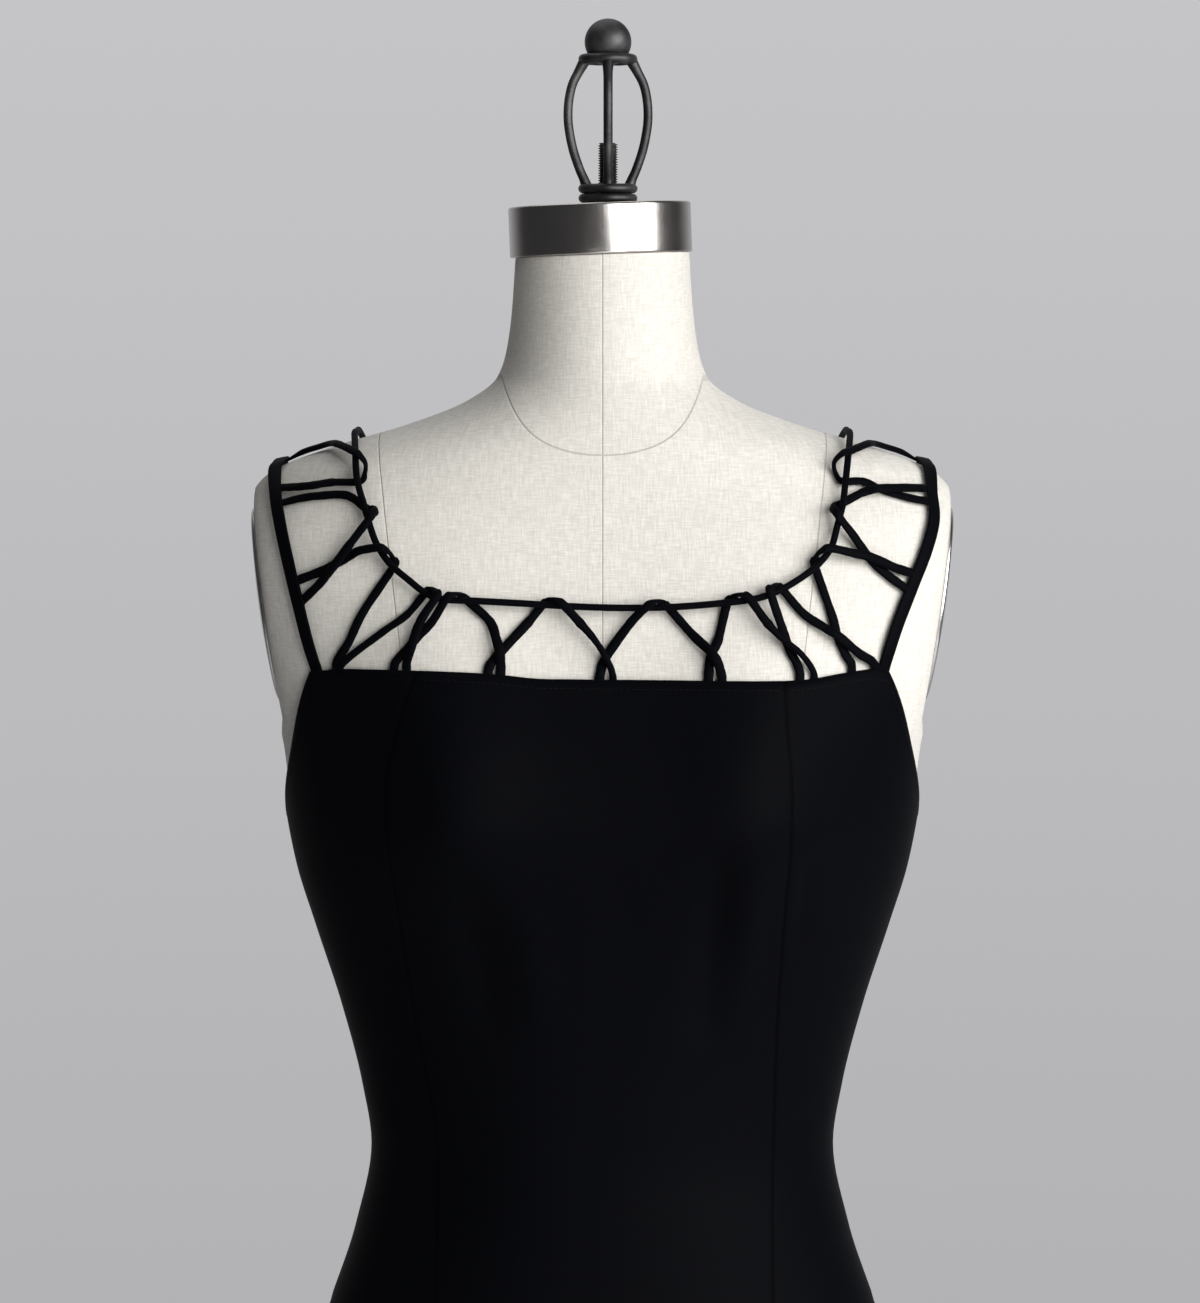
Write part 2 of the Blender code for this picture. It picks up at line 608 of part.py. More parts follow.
def lace(name, route, side):
    """A rouleau from the bodice or the strap up round the cord and down again."""
    first_leg, (x, z, length, order), second_leg = route
    points = [off_form(px * MM, pz * MM, lift * MM, side) for px, pz, lift in first_leg]
    points += hook(x, z, length, order, side)
    points += [off_form(px * MM, pz * MM, lift * MM, side) for px, pz, lift in second_leg]
    if not second_leg:
        sign = math.copysign(1, x)
        points += [over_shoulder(sign * px * MM, py * MM, lift * MM) for px, py, lift in SHOULDER_LEG]
    tube(name, points, LACE_RADIUS, CREPE)


for name, route in LACES.items():
    lace(f"front_lace_{name}", route, -1)
    if route[2]:
        lace(f"back_lace_{name}", route, 1)

# ---- The form ----

FORM_COLUMNS = 32
FORM_HEIGHTS = (
    FORM_BOTTOM, 0.770, 0.805, 0.840, 0.875, 0.910, 0.948, 0.991, 1.035, 1.067, 1.100, 1.130,
    1.160, 1.190, 1.218, 1.240, 1.262, 1.290, 1.318, 1.345, 1.368, 1.383, 1.3925, 1.400,
    1.406, 1.412, 1.4185, 1.425, 1.431, 1.437, NECK_BASE, 1.450, 1.462, 1.480, NECK_TOP,
)


def form_ring(z):
    """One level of the form's surface; the top of the neck is tipped with the cap."""
    half_width, front, back, centre, roundness = smooth(BODY, z)
    points = []
    for k in range(FORM_COLUMNS):
        around = 2 * math.pi * k / FORM_COLUMNS
        power = 2 / roundness
        x = half_width * math.copysign(abs(math.cos(around)) ** power, math.cos(around))
        depth = back if math.sin(around) > 0 else front + bust(x, z)
        y = centre + depth * math.copysign(abs(math.sin(around)) ** power, math.sin(around))
        tip = math.tan(CAP_TILT) * x * max(z - NECK_BASE, 0) / (NECK_TOP - NECK_BASE)
        points.append((x, y, z + tip))
    return points


torso = bmesh.new()
rings = [[torso.verts.new(place) for place in form_ring(z)] for z in FORM_HEIGHTS]
for lower, upper in zip(rings, rings[1:]):
    for k in range(FORM_COLUMNS):
        after = (k + 1) % FORM_COLUMNS
        torso.faces.new((lower[k], lower[after], upper[after], upper[k]))
torso.faces.new(list(reversed(rings[0])))
torso.faces.new(rings[-1])
form = add_mesh("form_torso", torso, LINEN)

# The stumps of the arms are cut flat, a little narrower towards the underarm
ARM_TOP, ARM_BOTTOM = Vector((0.1842, 0, 1.383)), Vector((0.1678, 0, 1.263))
ARM_LEAN = math.atan2(ARM_TOP.x - ARM_BOTTOM.x, ARM_TOP.z - ARM_BOTTOM.z)
ARM_BLOCK = Vector((0.06, 0.24, 0.15))
for side, sign in (("left", 1), ("right", -1)):
    block = bmesh.new()
    bmesh.ops.create_cube(block, size=1.0)
    bmesh.ops.scale(block, vec=ARM_BLOCK, verts=block.verts)
    bmesh.ops.translate(block, vec=(ARM_BLOCK.x / 2, 0, 0), verts=block.verts)
    bmesh.ops.rotate(block, matrix=Matrix.Rotation(ARM_LEAN, 3, "Y"), verts=block.verts)
    bmesh.ops.translate(block, vec=(ARM_TOP + ARM_BOTTOM) / 2, verts=block.verts)
    if sign < 0:
        bmesh.ops.scale(block, vec=(-1, 1, 1), verts=block.verts)
        bmesh.ops.reverse_faces(block, faces=block.faces)
    cutter = add_mesh(f"arm_cut_{side}", block, None, cutters)
    cutter.hide_render = True
    cutter.display_type = "WIRE"
    cut = form.modifiers.new(f"arm_{side}", "BOOLEAN")
    cut.operation = "DIFFERENCE"
    cut.object = cutter

# A domed disc of radius 1, which each plate stretches to its oval
plate_profile = [
    (radius, height * PLATE_DOME)
    for radius, height in ((0, 1), (0.4, 0.92), (0.75, 0.68), (0.95, 0.42), (1, 0.25), (1, 0), (0, 0))
]
for side, sign in (("left", 1), ("right", -1)):
    plate = turned(f"arm_plate_{side}", plate_profile, CHROME, 28)
    middle = (ARM_TOP + ARM_BOTTOM) / 2
    out = Matrix.Rotation(ARM_LEAN, 3, "Y") @ Vector((1, 0, 0))
    middle = middle + out * GAP + Vector((0, -0.002, 0))
    turn = Matrix.Rotation(ARM_LEAN + math.pi / 2, 4, "Y")
    place = Matrix.Translation(middle) @ turn @ Matrix.Diagonal((PLATE_HEIGHT / 2, PLATE_WIDTH / 2, 1, 1))
    mirror = Matrix.Diagonal((sign, 1, 1, 1))
    plate.matrix_world = mirror @ place

# ---- The neck cap and the cage finial ----

cap_profile = (
    (0, CAP_HEIGHT),
    (CAP_RADIUS - 0.0015, CAP_HEIGHT),
    (CAP_RADIUS, CAP_HEIGHT - 0.0015),
    (CAP_RADIUS, 0.0008),
    (CAP_RADIUS - 0.0008, 0),
    (0, 0),
)
turned("neck_cap", cap_profile, NICKEL, 48, (CAP_X, NECK_AXIS_Y, NECK_TOP + GAP), -CAP_TILT)


def on_finial(radius, around, z):
    return (FINIAL_X + radius * math.cos(around), NECK_AXIS_Y + radius * math.sin(around), z)


def ring(name, radius, thickness, z):
    steps = 24
    points = [on_finial(radius, 2 * math.pi * k / steps, z) for k in range(steps)]
    tube(name, points, thickness / 2, STEEL, closed=True, sides=2)


ring("finial_base_ring", 0.0132, 0.0046, 1.5372)
ring("finial_lower_ring", 0.0132, 0.0048, 1.5422)
ring("finial_upper_ring", 0.0128, 0.0054, 1.6098)
ball = bmesh.new()
bmesh.ops.create_uvsphere(ball, u_segments=20, v_segments=12, radius=BALL_RADIUS)
bmesh.ops.translate(ball, vec=on_finial(0, 0, BALL_Z), verts=ball.verts)
add_mesh("finial_ball", ball, STEEL)
WIRE_BEND = (
    (0.0128, 1.5475),
    (0.0152, 1.5530),
    (0.0183, 1.5620),
    (0.0203, 1.5720),
    (0.0210, 1.5800),
    (0.0205, 1.5885),
    (0.0187, 1.5965),
    (0.0154, 1.6032),
    (0.0141, 1.6053),
)
for k, name in enumerate(("left", "back", "right", "front")):
    bend = [on_finial(radius, k * math.pi / 2, z) for radius, z in WIRE_BEND]
    tube(f"finial_wire_{name}", bend, WIRE_RADIUS, STEEL)
rod_profile = ((0, 1.5655), (0.0042, 1.5655), (0.0050, 1.5647), (0.0050, 1.5345), (0, 1.5345))
turned("finial_rod", rod_profile, STEEL, 12, (FINIAL_X, NECK_AXIS_Y, 0.0005))

# ---- The stand ----

base_profile = (
    (0, BASE_THICKNESS),
    (BASE_RADIUS - 0.003, BASE_THICKNESS),
    (BASE_RADIUS, BASE_THICKNESS - 0.003),
    (BASE_RADIUS, 0),
    (0, 0),
)
turned("stand_base", base_profile, STEEL, 48)

foot = BASE_THICKNESS + GAP
flange_bore = POLE_RADIUS + 2 * GAP
flange_profile = (
    (flange_bore, foot + FLANGE_HEIGHT),
    (POLE_RADIUS + 0.006, foot + FLANGE_HEIGHT),
    (POLE_RADIUS + 0.010, foot + FLANGE_HEIGHT - 0.012),
    (FLANGE_RADIUS, foot + 0.004),
    (FLANGE_RADIUS, foot),
    (flange_bore, foot),
    (flange_bore, foot + FLANGE_HEIGHT),
)
turned("stand_flange", flange_profile, STEEL, 24)

pole_top = FORM_BOTTOM - GAP
turned("stand_pole", ((0, pole_top), (POLE_RADIUS, pole_top), (POLE_RADIUS, foot), (0, foot)), STEEL, 20)
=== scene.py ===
"""A black crepe maxi dress with a caged neckline, on a linen dress form with a metal stand."""

import math

import bmesh
import bpy
from mathutils import Matrix, Vector


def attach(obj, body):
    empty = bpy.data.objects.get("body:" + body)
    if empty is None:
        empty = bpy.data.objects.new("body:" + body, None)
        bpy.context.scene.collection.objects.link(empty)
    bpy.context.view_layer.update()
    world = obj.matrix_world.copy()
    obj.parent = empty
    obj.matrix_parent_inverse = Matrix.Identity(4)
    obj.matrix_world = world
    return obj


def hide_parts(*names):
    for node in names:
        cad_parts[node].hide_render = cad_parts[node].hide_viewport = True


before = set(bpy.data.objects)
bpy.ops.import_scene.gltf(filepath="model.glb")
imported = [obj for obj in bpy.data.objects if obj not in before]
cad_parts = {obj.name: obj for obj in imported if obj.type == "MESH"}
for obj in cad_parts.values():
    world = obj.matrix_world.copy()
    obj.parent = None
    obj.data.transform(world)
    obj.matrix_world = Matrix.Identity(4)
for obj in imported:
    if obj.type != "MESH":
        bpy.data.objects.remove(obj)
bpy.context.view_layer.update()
MM = 0.001

# ---- The studio ----
# A pale floor under an even grey surround. A window's wide soft light comes from the right of the
# camera, with a weak one overhead and a low strip in front that lifts the cap and the shoulders.

camera = bpy.data.objects.new("studio_camera", bpy.data.cameras.new("studio_camera"))
camera.location = (-0.0012, -2.40, 1.473)
camera.rotation_euler = (math.radians(90 - 4.18), 0, 0)
camera.data.lens = 125.1
camera.data.sensor_width = 36
camera.data.dof.use_dof = False
bpy.context.scene.collection.objects.link(camera)
bpy.context.scene.camera = camera


def softbox(name, azimuth, height, distance, size, power, aim=(0, 0, 1.15)):
    """A rectangular light: its azimuth is measured from the camera's side towards the right."""
    light = bpy.data.lights.new(name, "AREA")
    light.shape = "RECTANGLE"
    light.size, light.size_y = size
    light.energy = power
    lamp = bpy.data.objects.new(name, light)
    turn = math.radians(azimuth)
    place = Vector((distance * math.sin(turn), -distance * math.cos(turn), height))
    lamp.location = place
    lamp.rotation_euler = (Vector(aim) - place).to_track_quat("-Z", "Y").to_euler()
    bpy.context.scene.collection.objects.link(lamp)


softbox("window_light", 43, 1.90, 2.7, (3.05, 2.2), 138)
softbox("top_light", 200, 3.4, 0.7, (2.0, 2.0), 15)
softbox("floor_bounce", 6, 0.62, 2.5, (1.8, 0.5), 11, (0, 0, 1.40))
bpy.context.scene.view_settings.view_transform = "Standard"


class Number:
    """A number that varies over a surface. Arithmetic on it adds Math nodes."""

    def __init__(self, tree, socket):
        self.tree, self.socket = tree, socket

    def _math(self, operation, first, second=None):
        node = self.tree.nodes.new("ShaderNodeMath")
        node.operation = operation
        for slot, value in enumerate((first, second)):
            if isinstance(value, Number):
                self.tree.links.new(value.socket, node.inputs[slot])
            elif value is not None:
                node.inputs[slot].default_value = value
        return Number(self.tree, node.outputs[0])

    def __add__(self, other):
        return self._math("ADD", self, other)

    def __radd__(self, other):
        return self._math("ADD", other, self)

    def __sub__(self, other):
        return self._math("SUBTRACT", self, other)

    def __rsub__(self, other):
        return self._math("SUBTRACT", other, self)

    def __mul__(self, other):
        return self._math("MULTIPLY", self, other)

    def __rmul__(self, other):
        return self._math("MULTIPLY", other, self)

    def __truediv__(self, other):
        return self._math("DIVIDE", self, other)

    def __abs__(self):
        return self._math("ABSOLUTE", self)

    def most(self, other):
        return self._math("MAXIMUM", self, other)

    def least(self, other):
        return self._math("MINIMUM", self, other)


class Nodes:
    """The nodes of a material or of the surround."""

    def __init__(self, owner):
        owner.use_nodes = True
        self.tree = owner.node_tree

    def node(self, kind, settings=None, sockets=None, take=0):
        """A node of any kind: its settings first, then its sockets' values or links."""
        made = self.tree.nodes.new(kind)
        for name, value in (settings or {}).items():
            setattr(made, name, value)
        for name, value in (sockets or {}).items():
            if isinstance(value, Number):
                self.tree.links.new(value.socket, made.inputs[name])
            else:
                made.inputs[name].default_value = value
        return Number(self.tree, made.outputs[take])

    def noise(self, where, scale, detail=2.0, roughness=0.5):
        sockets = {"Vector": where, "Scale": scale, "Detail": detail, "Roughness": roughness}
        return self.node("ShaderNodeTexNoise", None, sockets)

    def stretched(self, where, scale):
        return self.node("ShaderNodeMapping", None, {"Vector": where, "Scale": scale})

    def along(self, where, axis):
        return self.node("ShaderNodeSeparateXYZ", None, {"Vector": where}, axis)

    def blend(self, factor, first, second):
        """A mix of two colours. A Mix node keeps its colours in sockets 6 and 7 and their mix in 2."""
        return self.node("ShaderNodeMix", {"data_type": "RGBA"}, {0: factor, 6: first, 7: second}, 2)

    def ease(self, value, low, high, curve="SMOOTHSTEP"):
        """A rise from 0 to 1 while the value goes from low to high."""
        sockets = {"Value": value, "From Min": low, "From Max": high}
        return self.node("ShaderNodeMapRange", {"interpolation_type": curve}, sockets)


class Finish(Nodes):
    """One material: the shader with its own constants, and the nodes behind it."""

    def __init__(self, name, shader):
        self.material = bpy.data.materials.new(name)
        super().__init__(self.material)
        self.shader = self.tree.nodes["Principled BSDF"]
        for socket, value in shader.items():
            self.shader.inputs[socket].default_value = value

    def place(self):
        return self.node("ShaderNodeTexCoord", None, None, "Object")

    def feed(self, socket, value):
        self.tree.links.new(value.socket, self.shader.inputs[socket])

    def bump(self, height, strength, distance):
        sockets = {"Height": height, "Strength": strength, "Distance": distance}
        self.feed("Normal", self.node("ShaderNodeBump", None, sockets))


surround = bpy.data.worlds.new("studio_surround")
bpy.context.scene.world = surround
sky = Nodes(surround)
ways = sky.node("ShaderNodeTexCoord", None, None, "Generated")
# Painted shade: the backdrop that the camera sees is graded darker towards the bottom, standing in for
# light falling off down the wall. The surround that lights the scene is dark in front and pale behind.
backdrop_shade_grade = sky.ease(sky.along(ways, "Z"), -0.22, 0.10, "LINEAR")
backdrop = sky.blend(backdrop_shade_grade, (0.445, 0.443, 0.455, 1), (0.572, 0.572, 0.585, 1))
behind = sky.ease(sky.along(ways, "Y"), 0.40, 0.98)
room = sky.blend(behind, (0.050, 0.050, 0.053, 1), (0.50, 0.50, 0.51, 1))
seen = sky.node("ShaderNodeBackground", None, {"Color": backdrop})
lighting = sky.node("ShaderNodeBackground", None, {"Color": room})
to_camera = sky.node("ShaderNodeLightPath", None, None, "Is Camera Ray")
choice = sky.node("ShaderNodeMixShader", None, {0: to_camera, 1: lighting, 2: seen})
sky.tree.links.new(choice.socket, sky.tree.nodes["World Output"].inputs["Surface"])


def add_piece(name, mesh, finish, replaces=()):
    """Puts a finished mesh on the part's one body and lets it stand for its plain solids."""
    piece = bpy.data.objects.new(name, mesh)
    bpy.context.scene.collection.objects.link(piece)
    mesh.materials.clear()
    mesh.materials.append(finish.material)
    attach(piece, "root")
    if replaces:
        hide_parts(*replaces)
    return piece


def mesh_of(name, work, crease=40):
    mesh = bpy.data.meshes.new(name)
    work.to_mesh(mesh)
    work.free()
    mesh.shade_smooth()
    mesh.set_sharp_from_angle(angle=math.radians(crease))
    return mesh


floor_work = bmesh.new()
bmesh.ops.create_circle(floor_work, cap_ends=True, segments=96, radius=3.0)
floor_finish = Finish("pale_floor", {"Roughness": 0.75, "Base Color": (0.62, 0.62, 0.63, 1)})
floor = bpy.data.objects.new("studio_floor", mesh_of("studio_floor", floor_work))
floor.data.materials.append(floor_finish.material)
bpy.context.scene.collection.objects.link(floor)

# ---- The stand ----
# A flat round steel base, a flange welded round the foot of the pole and the pole itself, all
# blackened and waxed. The pole goes up into the form.


def turned_mesh(name, profile, steps, centre=(0, 0, 0), crease=40):
    """A lathe-turned mesh from a profile of radius and height that runs from the top down its outside."""
    work = bmesh.new()
    rings = []
    for radius, height in profile:
        if rings and (radius, height) == profile[0]:
            rings.append(rings[0])
            continue
        ring = []
        for k in range(steps if radius > 0 else 1):
            around = 2 * math.pi * k / steps
            out = Vector((radius * math.cos(around), radius * math.sin(around), height))
            ring.append(work.verts.new(Vector(centre) + out))
        rings.append(ring)
    for upper, lower in zip(rings, rings[1:]):
        for k in range(steps):
            here, after = k, (k + 1) % steps
            corners = [upper[here % len(upper)], lower[here % len(lower)]]
            corners += [lower[after % len(lower)], upper[after % len(upper)]]
            unique = list(dict.fromkeys(corners))
            if len(unique) > 2:
                work.faces.new(unique)
    bmesh.ops.recalc_face_normals(work, faces=work.faces)
    return mesh_of(name, work, crease)


def rounded(radius, height, size, start, steps=5):
    """A quarter round of the given size at an edge, from angle `start` in degrees down by 90."""
    points = []
    for k in range(steps + 1):
        turn = math.radians(start - 90 * k / steps)
        points.append((radius + size * math.cos(turn), height + size * math.sin(turn)))
    return points


steel = Finish("blackened_steel", {"Metallic": 0.9, "Specular IOR Level": 0.5})
place = steel.place()
scale_marks = steel.noise(place, 260, 4, 0.6)
patina = steel.noise(place, 45, 3, 0.55)
darker = steel.ease(patina, 0.35, 0.68)
steel.feed("Base Color", steel.blend(darker, (0.042, 0.042, 0.043, 1), (0.118, 0.114, 0.112, 1)))
steel.feed("Roughness", 0.34 + 0.22 * patina + 0.10 * scale_marks)
steel.bump(scale_marks * 0.6 + patina * 0.4, 0.5, 0.0005)

BASE_RADIUS, BASE_THICKNESS, POLE_RADIUS = 0.210, 0.008, 0.016
profile = [(0, BASE_THICKNESS), (0.1, BASE_THICKNESS)]
profile += rounded(BASE_RADIUS - 0.003, BASE_THICKNESS - 0.003, 0.003, 90)
profile += rounded(BASE_RADIUS - 0.001, 0.001, 0.001, 0) + [(0, 0)]
base_mesh = turned_mesh("stand_base_plate", profile, 128)
add_piece("stand_base_plate", base_mesh, steel, ["stand_base"])

PIECE_GAP, FLANGE_BORE, FORM_BOTTOM = 0.0003, POLE_RADIUS + 0.0004, 0.740
foot = BASE_THICKNESS + PIECE_GAP
profile = [(FLANGE_BORE, foot + 0.022)]
profile += rounded(POLE_RADIUS + 0.005, foot + 0.0205, 0.0015, 90, 3)
profile += [(POLE_RADIUS + 0.0075, foot + 0.013), (POLE_RADIUS + 0.011, foot + 0.0075)]
profile += [(0.030, foot + 0.0052)]
profile += rounded(0.0432, foot + 0.0022, 0.0018, 90, 3) + [(0.045, foot), (FLANGE_BORE, foot)]
profile += [(FLANGE_BORE, foot + 0.022)]
flange_mesh = turned_mesh("pole_flange", profile, 96)
add_piece("pole_flange", flange_mesh, steel, ["stand_flange"])

pole_top = FORM_BOTTOM - PIECE_GAP
profile = [(0, pole_top), (POLE_RADIUS - 0.0005, pole_top), (POLE_RADIUS, pole_top - 0.0005)]
profile += [(POLE_RADIUS, foot), (0, foot)]
pole_mesh = turned_mesh("stand_tube", profile, 64)
add_piece("stand_tube", pole_mesh, steel, ["stand_pole"])

# ---- The form ----
# A moulded torso with no arms or legs, covered in natural linen that is cut in panels and sewn at
# the centre front, the centre back, the princess lines and the base of the neck.

# Height, half width, front depth, back depth, centre (y), roundness of each section
BODY = (
    (0.7400, 0.1600, 0.0980, 0.1180, 0.000, 2.20),
    (0.7900, 0.1690, 0.1040, 0.1260, 0.000, 2.20),
    (0.8400, 0.1715, 0.1060, 0.1300, 0.000, 2.20),
    (0.8900, 0.1640, 0.1040, 0.1260, 0.000, 2.20),
    (0.9480, 0.1431, 0.0980, 0.1120, 0.000, 2.20),
    (0.9910, 0.1287, 0.0920, 0.1010, 0.000, 2.15),
    (1.0350, 0.1202, 0.0870, 0.0950, 0.000, 2.10),
    (1.0670, 0.1249, 0.0890, 0.0940, 0.000, 2.10),
    (1.1100, 0.1357, 0.0950, 0.0960, 0.000, 2.15),
    (1.1540, 0.1497, 0.1040, 0.1000, 0.000, 2.20),
    (1.1860, 0.1594, 0.1110, 0.1040, 0.000, 2.25),
    (1.2180, 0.1653, 0.1160, 0.1080, 0.000, 2.30),
    (1.2500, 0.1690, 0.1130, 0.1120, 0.000, 2.45),
    (1.2900, 0.1800, 0.1040, 0.1160, 0.000, 2.60),
    (1.3200, 0.1870, 0.0960, 0.1170, 0.000, 2.80),
    (1.3500, 0.1895, 0.0870, 0.1140, 0.000, 2.95),
    (1.3700, 0.1885, 0.0810, 0.1080, 0.000, 2.70),
    (1.3830, 0.1846, 0.0775, 0.1020, 0.000, 2.30),
    (1.3925, 0.1765, 0.0755, 0.0980, 0.000, 2.10),
    (1.4060, 0.1440, 0.0725, 0.0890, 0.000, 2.05),
    (1.4185, 0.1020, 0.0690, 0.0790, 0.000, 2.00),
    (1.4310, 0.0710, 0.0640, 0.0690, 0.000, 2.00),
    (1.4430, 0.0557, 0.0590, 0.0590, 0.000, 2.00),
    (1.4570, 0.0508, 0.0560, 0.0500, -0.001, 2.00),
    (1.4770, 0.0479, 0.0520, 0.0465, -0.004, 2.00),
    (1.5072, 0.0457, 0.0457, 0.0457, -0.008, 2.00),
)
NECK_BASE, NECK_TOP = 1.443, 1.5072
CAP_TILT = math.radians(2.1)
BUST_X, BUST_Z, BUST_OUT = 0.086, 1.222, 0.022
FORM_COLUMNS = 192


def smooth(rows, where):
    """The values beside `where` in a table whose first column rises, along a curve with no overshoot."""
    where = min(max(where, rows[0][0]), rows[-1][0])
    step = next(k for k in range(len(rows) - 1) if where <= rows[k + 1][0])
    reach = rows[step + 1][0] - rows[step][0]
    t = (where - rows[step][0]) / reach

    def rise(k, column):
        return (rows[k + 1][column] - rows[k][column]) / (rows[k + 1][0] - rows[k][0])

    def slope(k, column):
        if k == 0 or k == len(rows) - 1:
            return rise(min(k, len(rows) - 2), column)
        before, after = rise(k - 1, column), rise(k, column)
        return 2 * before * after / (before + after) if before * after > 0 else 0.0

    values = []
    for column in range(1, len(rows[0])):
        low, high = rows[step][column], rows[step + 1][column]
        start, end = slope(step, column) * reach, slope(step + 1, column) * reach
        values.append(
            (2 * t**3 - 3 * t**2 + 1) * low + (t**3 - 2 * t**2 + t) * start
            + (3 * t**2 - 2 * t**3) * high + (t**3 - t**2) * end
        )
    return values


def bust(x, z):
    height = 0.075 if z > BUST_Z else 0.050
    return BUST_OUT * math.exp(-(((abs(x) - BUST_X) / 0.045) ** 2) - ((z - BUST_Z) / height) ** 2)


def signed_power(value, power):
    return math.copysign(abs(value) ** power, value)


def arm_flat(x, z):
    """The form's side drawn in to the flat end of the arm's stump, with a soft edge."""
    limit = 0.1678 + (z - 1.263) * 0.1367
    if z < 1.262:
        limit += (1.262 - z) * 0.9
    if z > 1.384:
        limit += (z - 1.384) * 6
    size, soft = abs(x), 0.0025
    near = max(soft - abs(size - limit), 0.0) / soft
    return math.copysign(min(size, limit) - near * near * soft / 4, x)


form_heights = [FORM_BOTTOM + 0.005 * k for k in range(125)] + [1.364 + 0.0016 * k for k in range(58)]
form_heights += [1.4572 + 0.004 * k for k in range(12)] + [1.504, NECK_TOP]
work = bmesh.new()
cloth_map = work.loops.layers.uv.new("weave")
rings, girths = [], []
for z in form_heights:
    half_width, front, back, centre, roundness = smooth(BODY, z)
    ring, girth, walked = [], [], 0.0
    for k in range(FORM_COLUMNS + 1):
        around = 2 * math.pi * k / FORM_COLUMNS - math.pi / 2
        x = half_width * signed_power(math.cos(around), 2 / roundness)
        depth = back if math.sin(around) > 0 else front + bust(x, z)
        y = centre + depth * signed_power(math.sin(around), 2 / roundness)
        tip = math.tan(CAP_TILT) * x * max(z - NECK_BASE, 0) / (NECK_TOP - NECK_BASE)
        spot = Vector((arm_flat(x, z), y, z + tip))
        if k:
            walked += (spot - last_spot).length
        last_spot = spot
        girth.append(walked)
        ring.append(work.verts.new(spot) if k < FORM_COLUMNS else ring[0])
    rings.append(ring)
    girths.append(girth)
for row in range(len(rings) - 1):
    for k in range(FORM_COLUMNS):
        spots = ((row, k), (row, k + 1), (row + 1, k + 1), (row + 1, k))
        face = work.faces.new([rings[r][c] for r, c in spots])
        for loop, (r, c) in zip(face.loops, spots):
            # The weave is measured both ways from the centre front
            start = girths[r][-1] if k >= FORM_COLUMNS // 2 else 0
            loop[cloth_map].uv = (girths[r][c] - start, form_heights[r])
work.faces.new(list(reversed(rings[0][:-1])))
work.faces.new(rings[-1][:-1])
form_mesh = mesh_of("linen_form", work, 60)

linen = Finish("natural_linen", {"Roughness": 0.92, "Sheen Weight": 0.15, "Sheen Roughness": 0.6,
                                 "Specular IOR Level": 0.25})
weave = linen.node("ShaderNodeUVMap", {"uv_map": "weave"})
warp, weft, slub_across, slub_up, yarn_across, yarn_up = (
    linen.noise(linen.stretched(weave, (across, up, 1)), 1.0, 2)
    for across, up in ((1500, 150), (150, 1500), (95, 1000), (1000, 95), (110, 900), (900, 90))
)
slub = linen.ease(slub_across, 0.60, 0.80).most(linen.ease(slub_up, 0.60, 0.80))
cover = linen.ease(warp, 0.3, 0.7) + linen.ease(weft, 0.3, 0.7) - 1
place = linen.place()
form_x, form_y_at, form_z = (linen.along(place, axis) for axis in "XYZ")
centre_seam = abs(form_x)
princess_line = abs(abs(form_x) - (form_z - 1.311) * 0.13 - 0.104)
square = form_x * form_x
neck_front = (square * 6.3 + square * square * square * 1e6 + 1.404).least(1.443)
neck_back = form_y_at.most(0.0) * 0.08 + 1.443
neck_height = neck_front + linen.ease(form_y_at, -0.006, 0.0) * (neck_back - neck_front)
steep = abs(form_x) * (square * square * 6e6 + 12.6)
neck_line = abs(form_z - neck_height) / (steep.least(4.0) + 1)
body_only = 1 - linen.ease(form_z - neck_height, -0.001, 0.001)
seam_near = centre_seam.least(neck_line).least(princess_line + (1 - body_only) * 1.0)
# One mask for the seams' grooves. It sinks them in the bump and also darkens the linen there as painted
# shade.
seam_groove_and_shade = 1 - linen.ease(seam_near, 0.0001, 0.00055)
pressed = (1 - linen.ease(seam_near, 0.006, 0.0085)) * (1 - seam_groove_and_shade)
tone = linen.noise(place, 9, 3)
light_thread = linen.blend(tone, (0.66, 0.635, 0.585, 1), (0.72, 0.70, 0.655, 1))
threads = linen.blend(linen.ease(cover, -1.0, 1.0) * 0.5, light_thread, (0.47, 0.44, 0.385, 1))
slubs = linen.blend(slub * 0.28, threads, (0.40, 0.365, 0.31, 1))
uneven = linen.ease(yarn_across * 0.9 + yarn_up * 1.1, 0.82, 1.22)
yarns = linen.blend(uneven * 0.34, slubs, (0.47, 0.445, 0.40, 1))
# Painted shade: the linen's colour is darkened along the seams, standing in for the shade in their grooves.
linen.feed("Base Color", linen.blend(seam_groove_and_shade * 0.38, yarns, (0.25, 0.225, 0.19, 1)))
relief = cover * 0.00003 + uneven * 0.00003 + slub * 0.00005 + pressed * 0.00010 - seam_groove_and_shade * 0.0003
linen.bump(relief, 0.8, 1.0)
add_piece("linen_form", form_mesh, linen, ["form_torso"])

# ---- The arm plates ----
# An oval nickel-plated dome is screwed over each arm's flat end. It has a rolled rim.

plate_finish = Finish("polished_plate", {"Metallic": 1.0, "Coat Weight": 0.0})
place = plate_finish.place()
polish = plate_finish.noise(plate_finish.stretched(place, (900, 60, 60)), 1.0, 3)
bloom = plate_finish.noise(place, 70, 3)
plate_finish.feed("Base Color", plate_finish.blend(bloom, (0.60, 0.60, 0.595, 1), (0.74, 0.735, 0.72, 1)))
plate_finish.feed("Roughness", 0.13 + 0.14 * bloom + 0.05 * polish)
plate_finish.bump(polish * 0.5 + bloom * 0.5, 0.15, 0.0002)

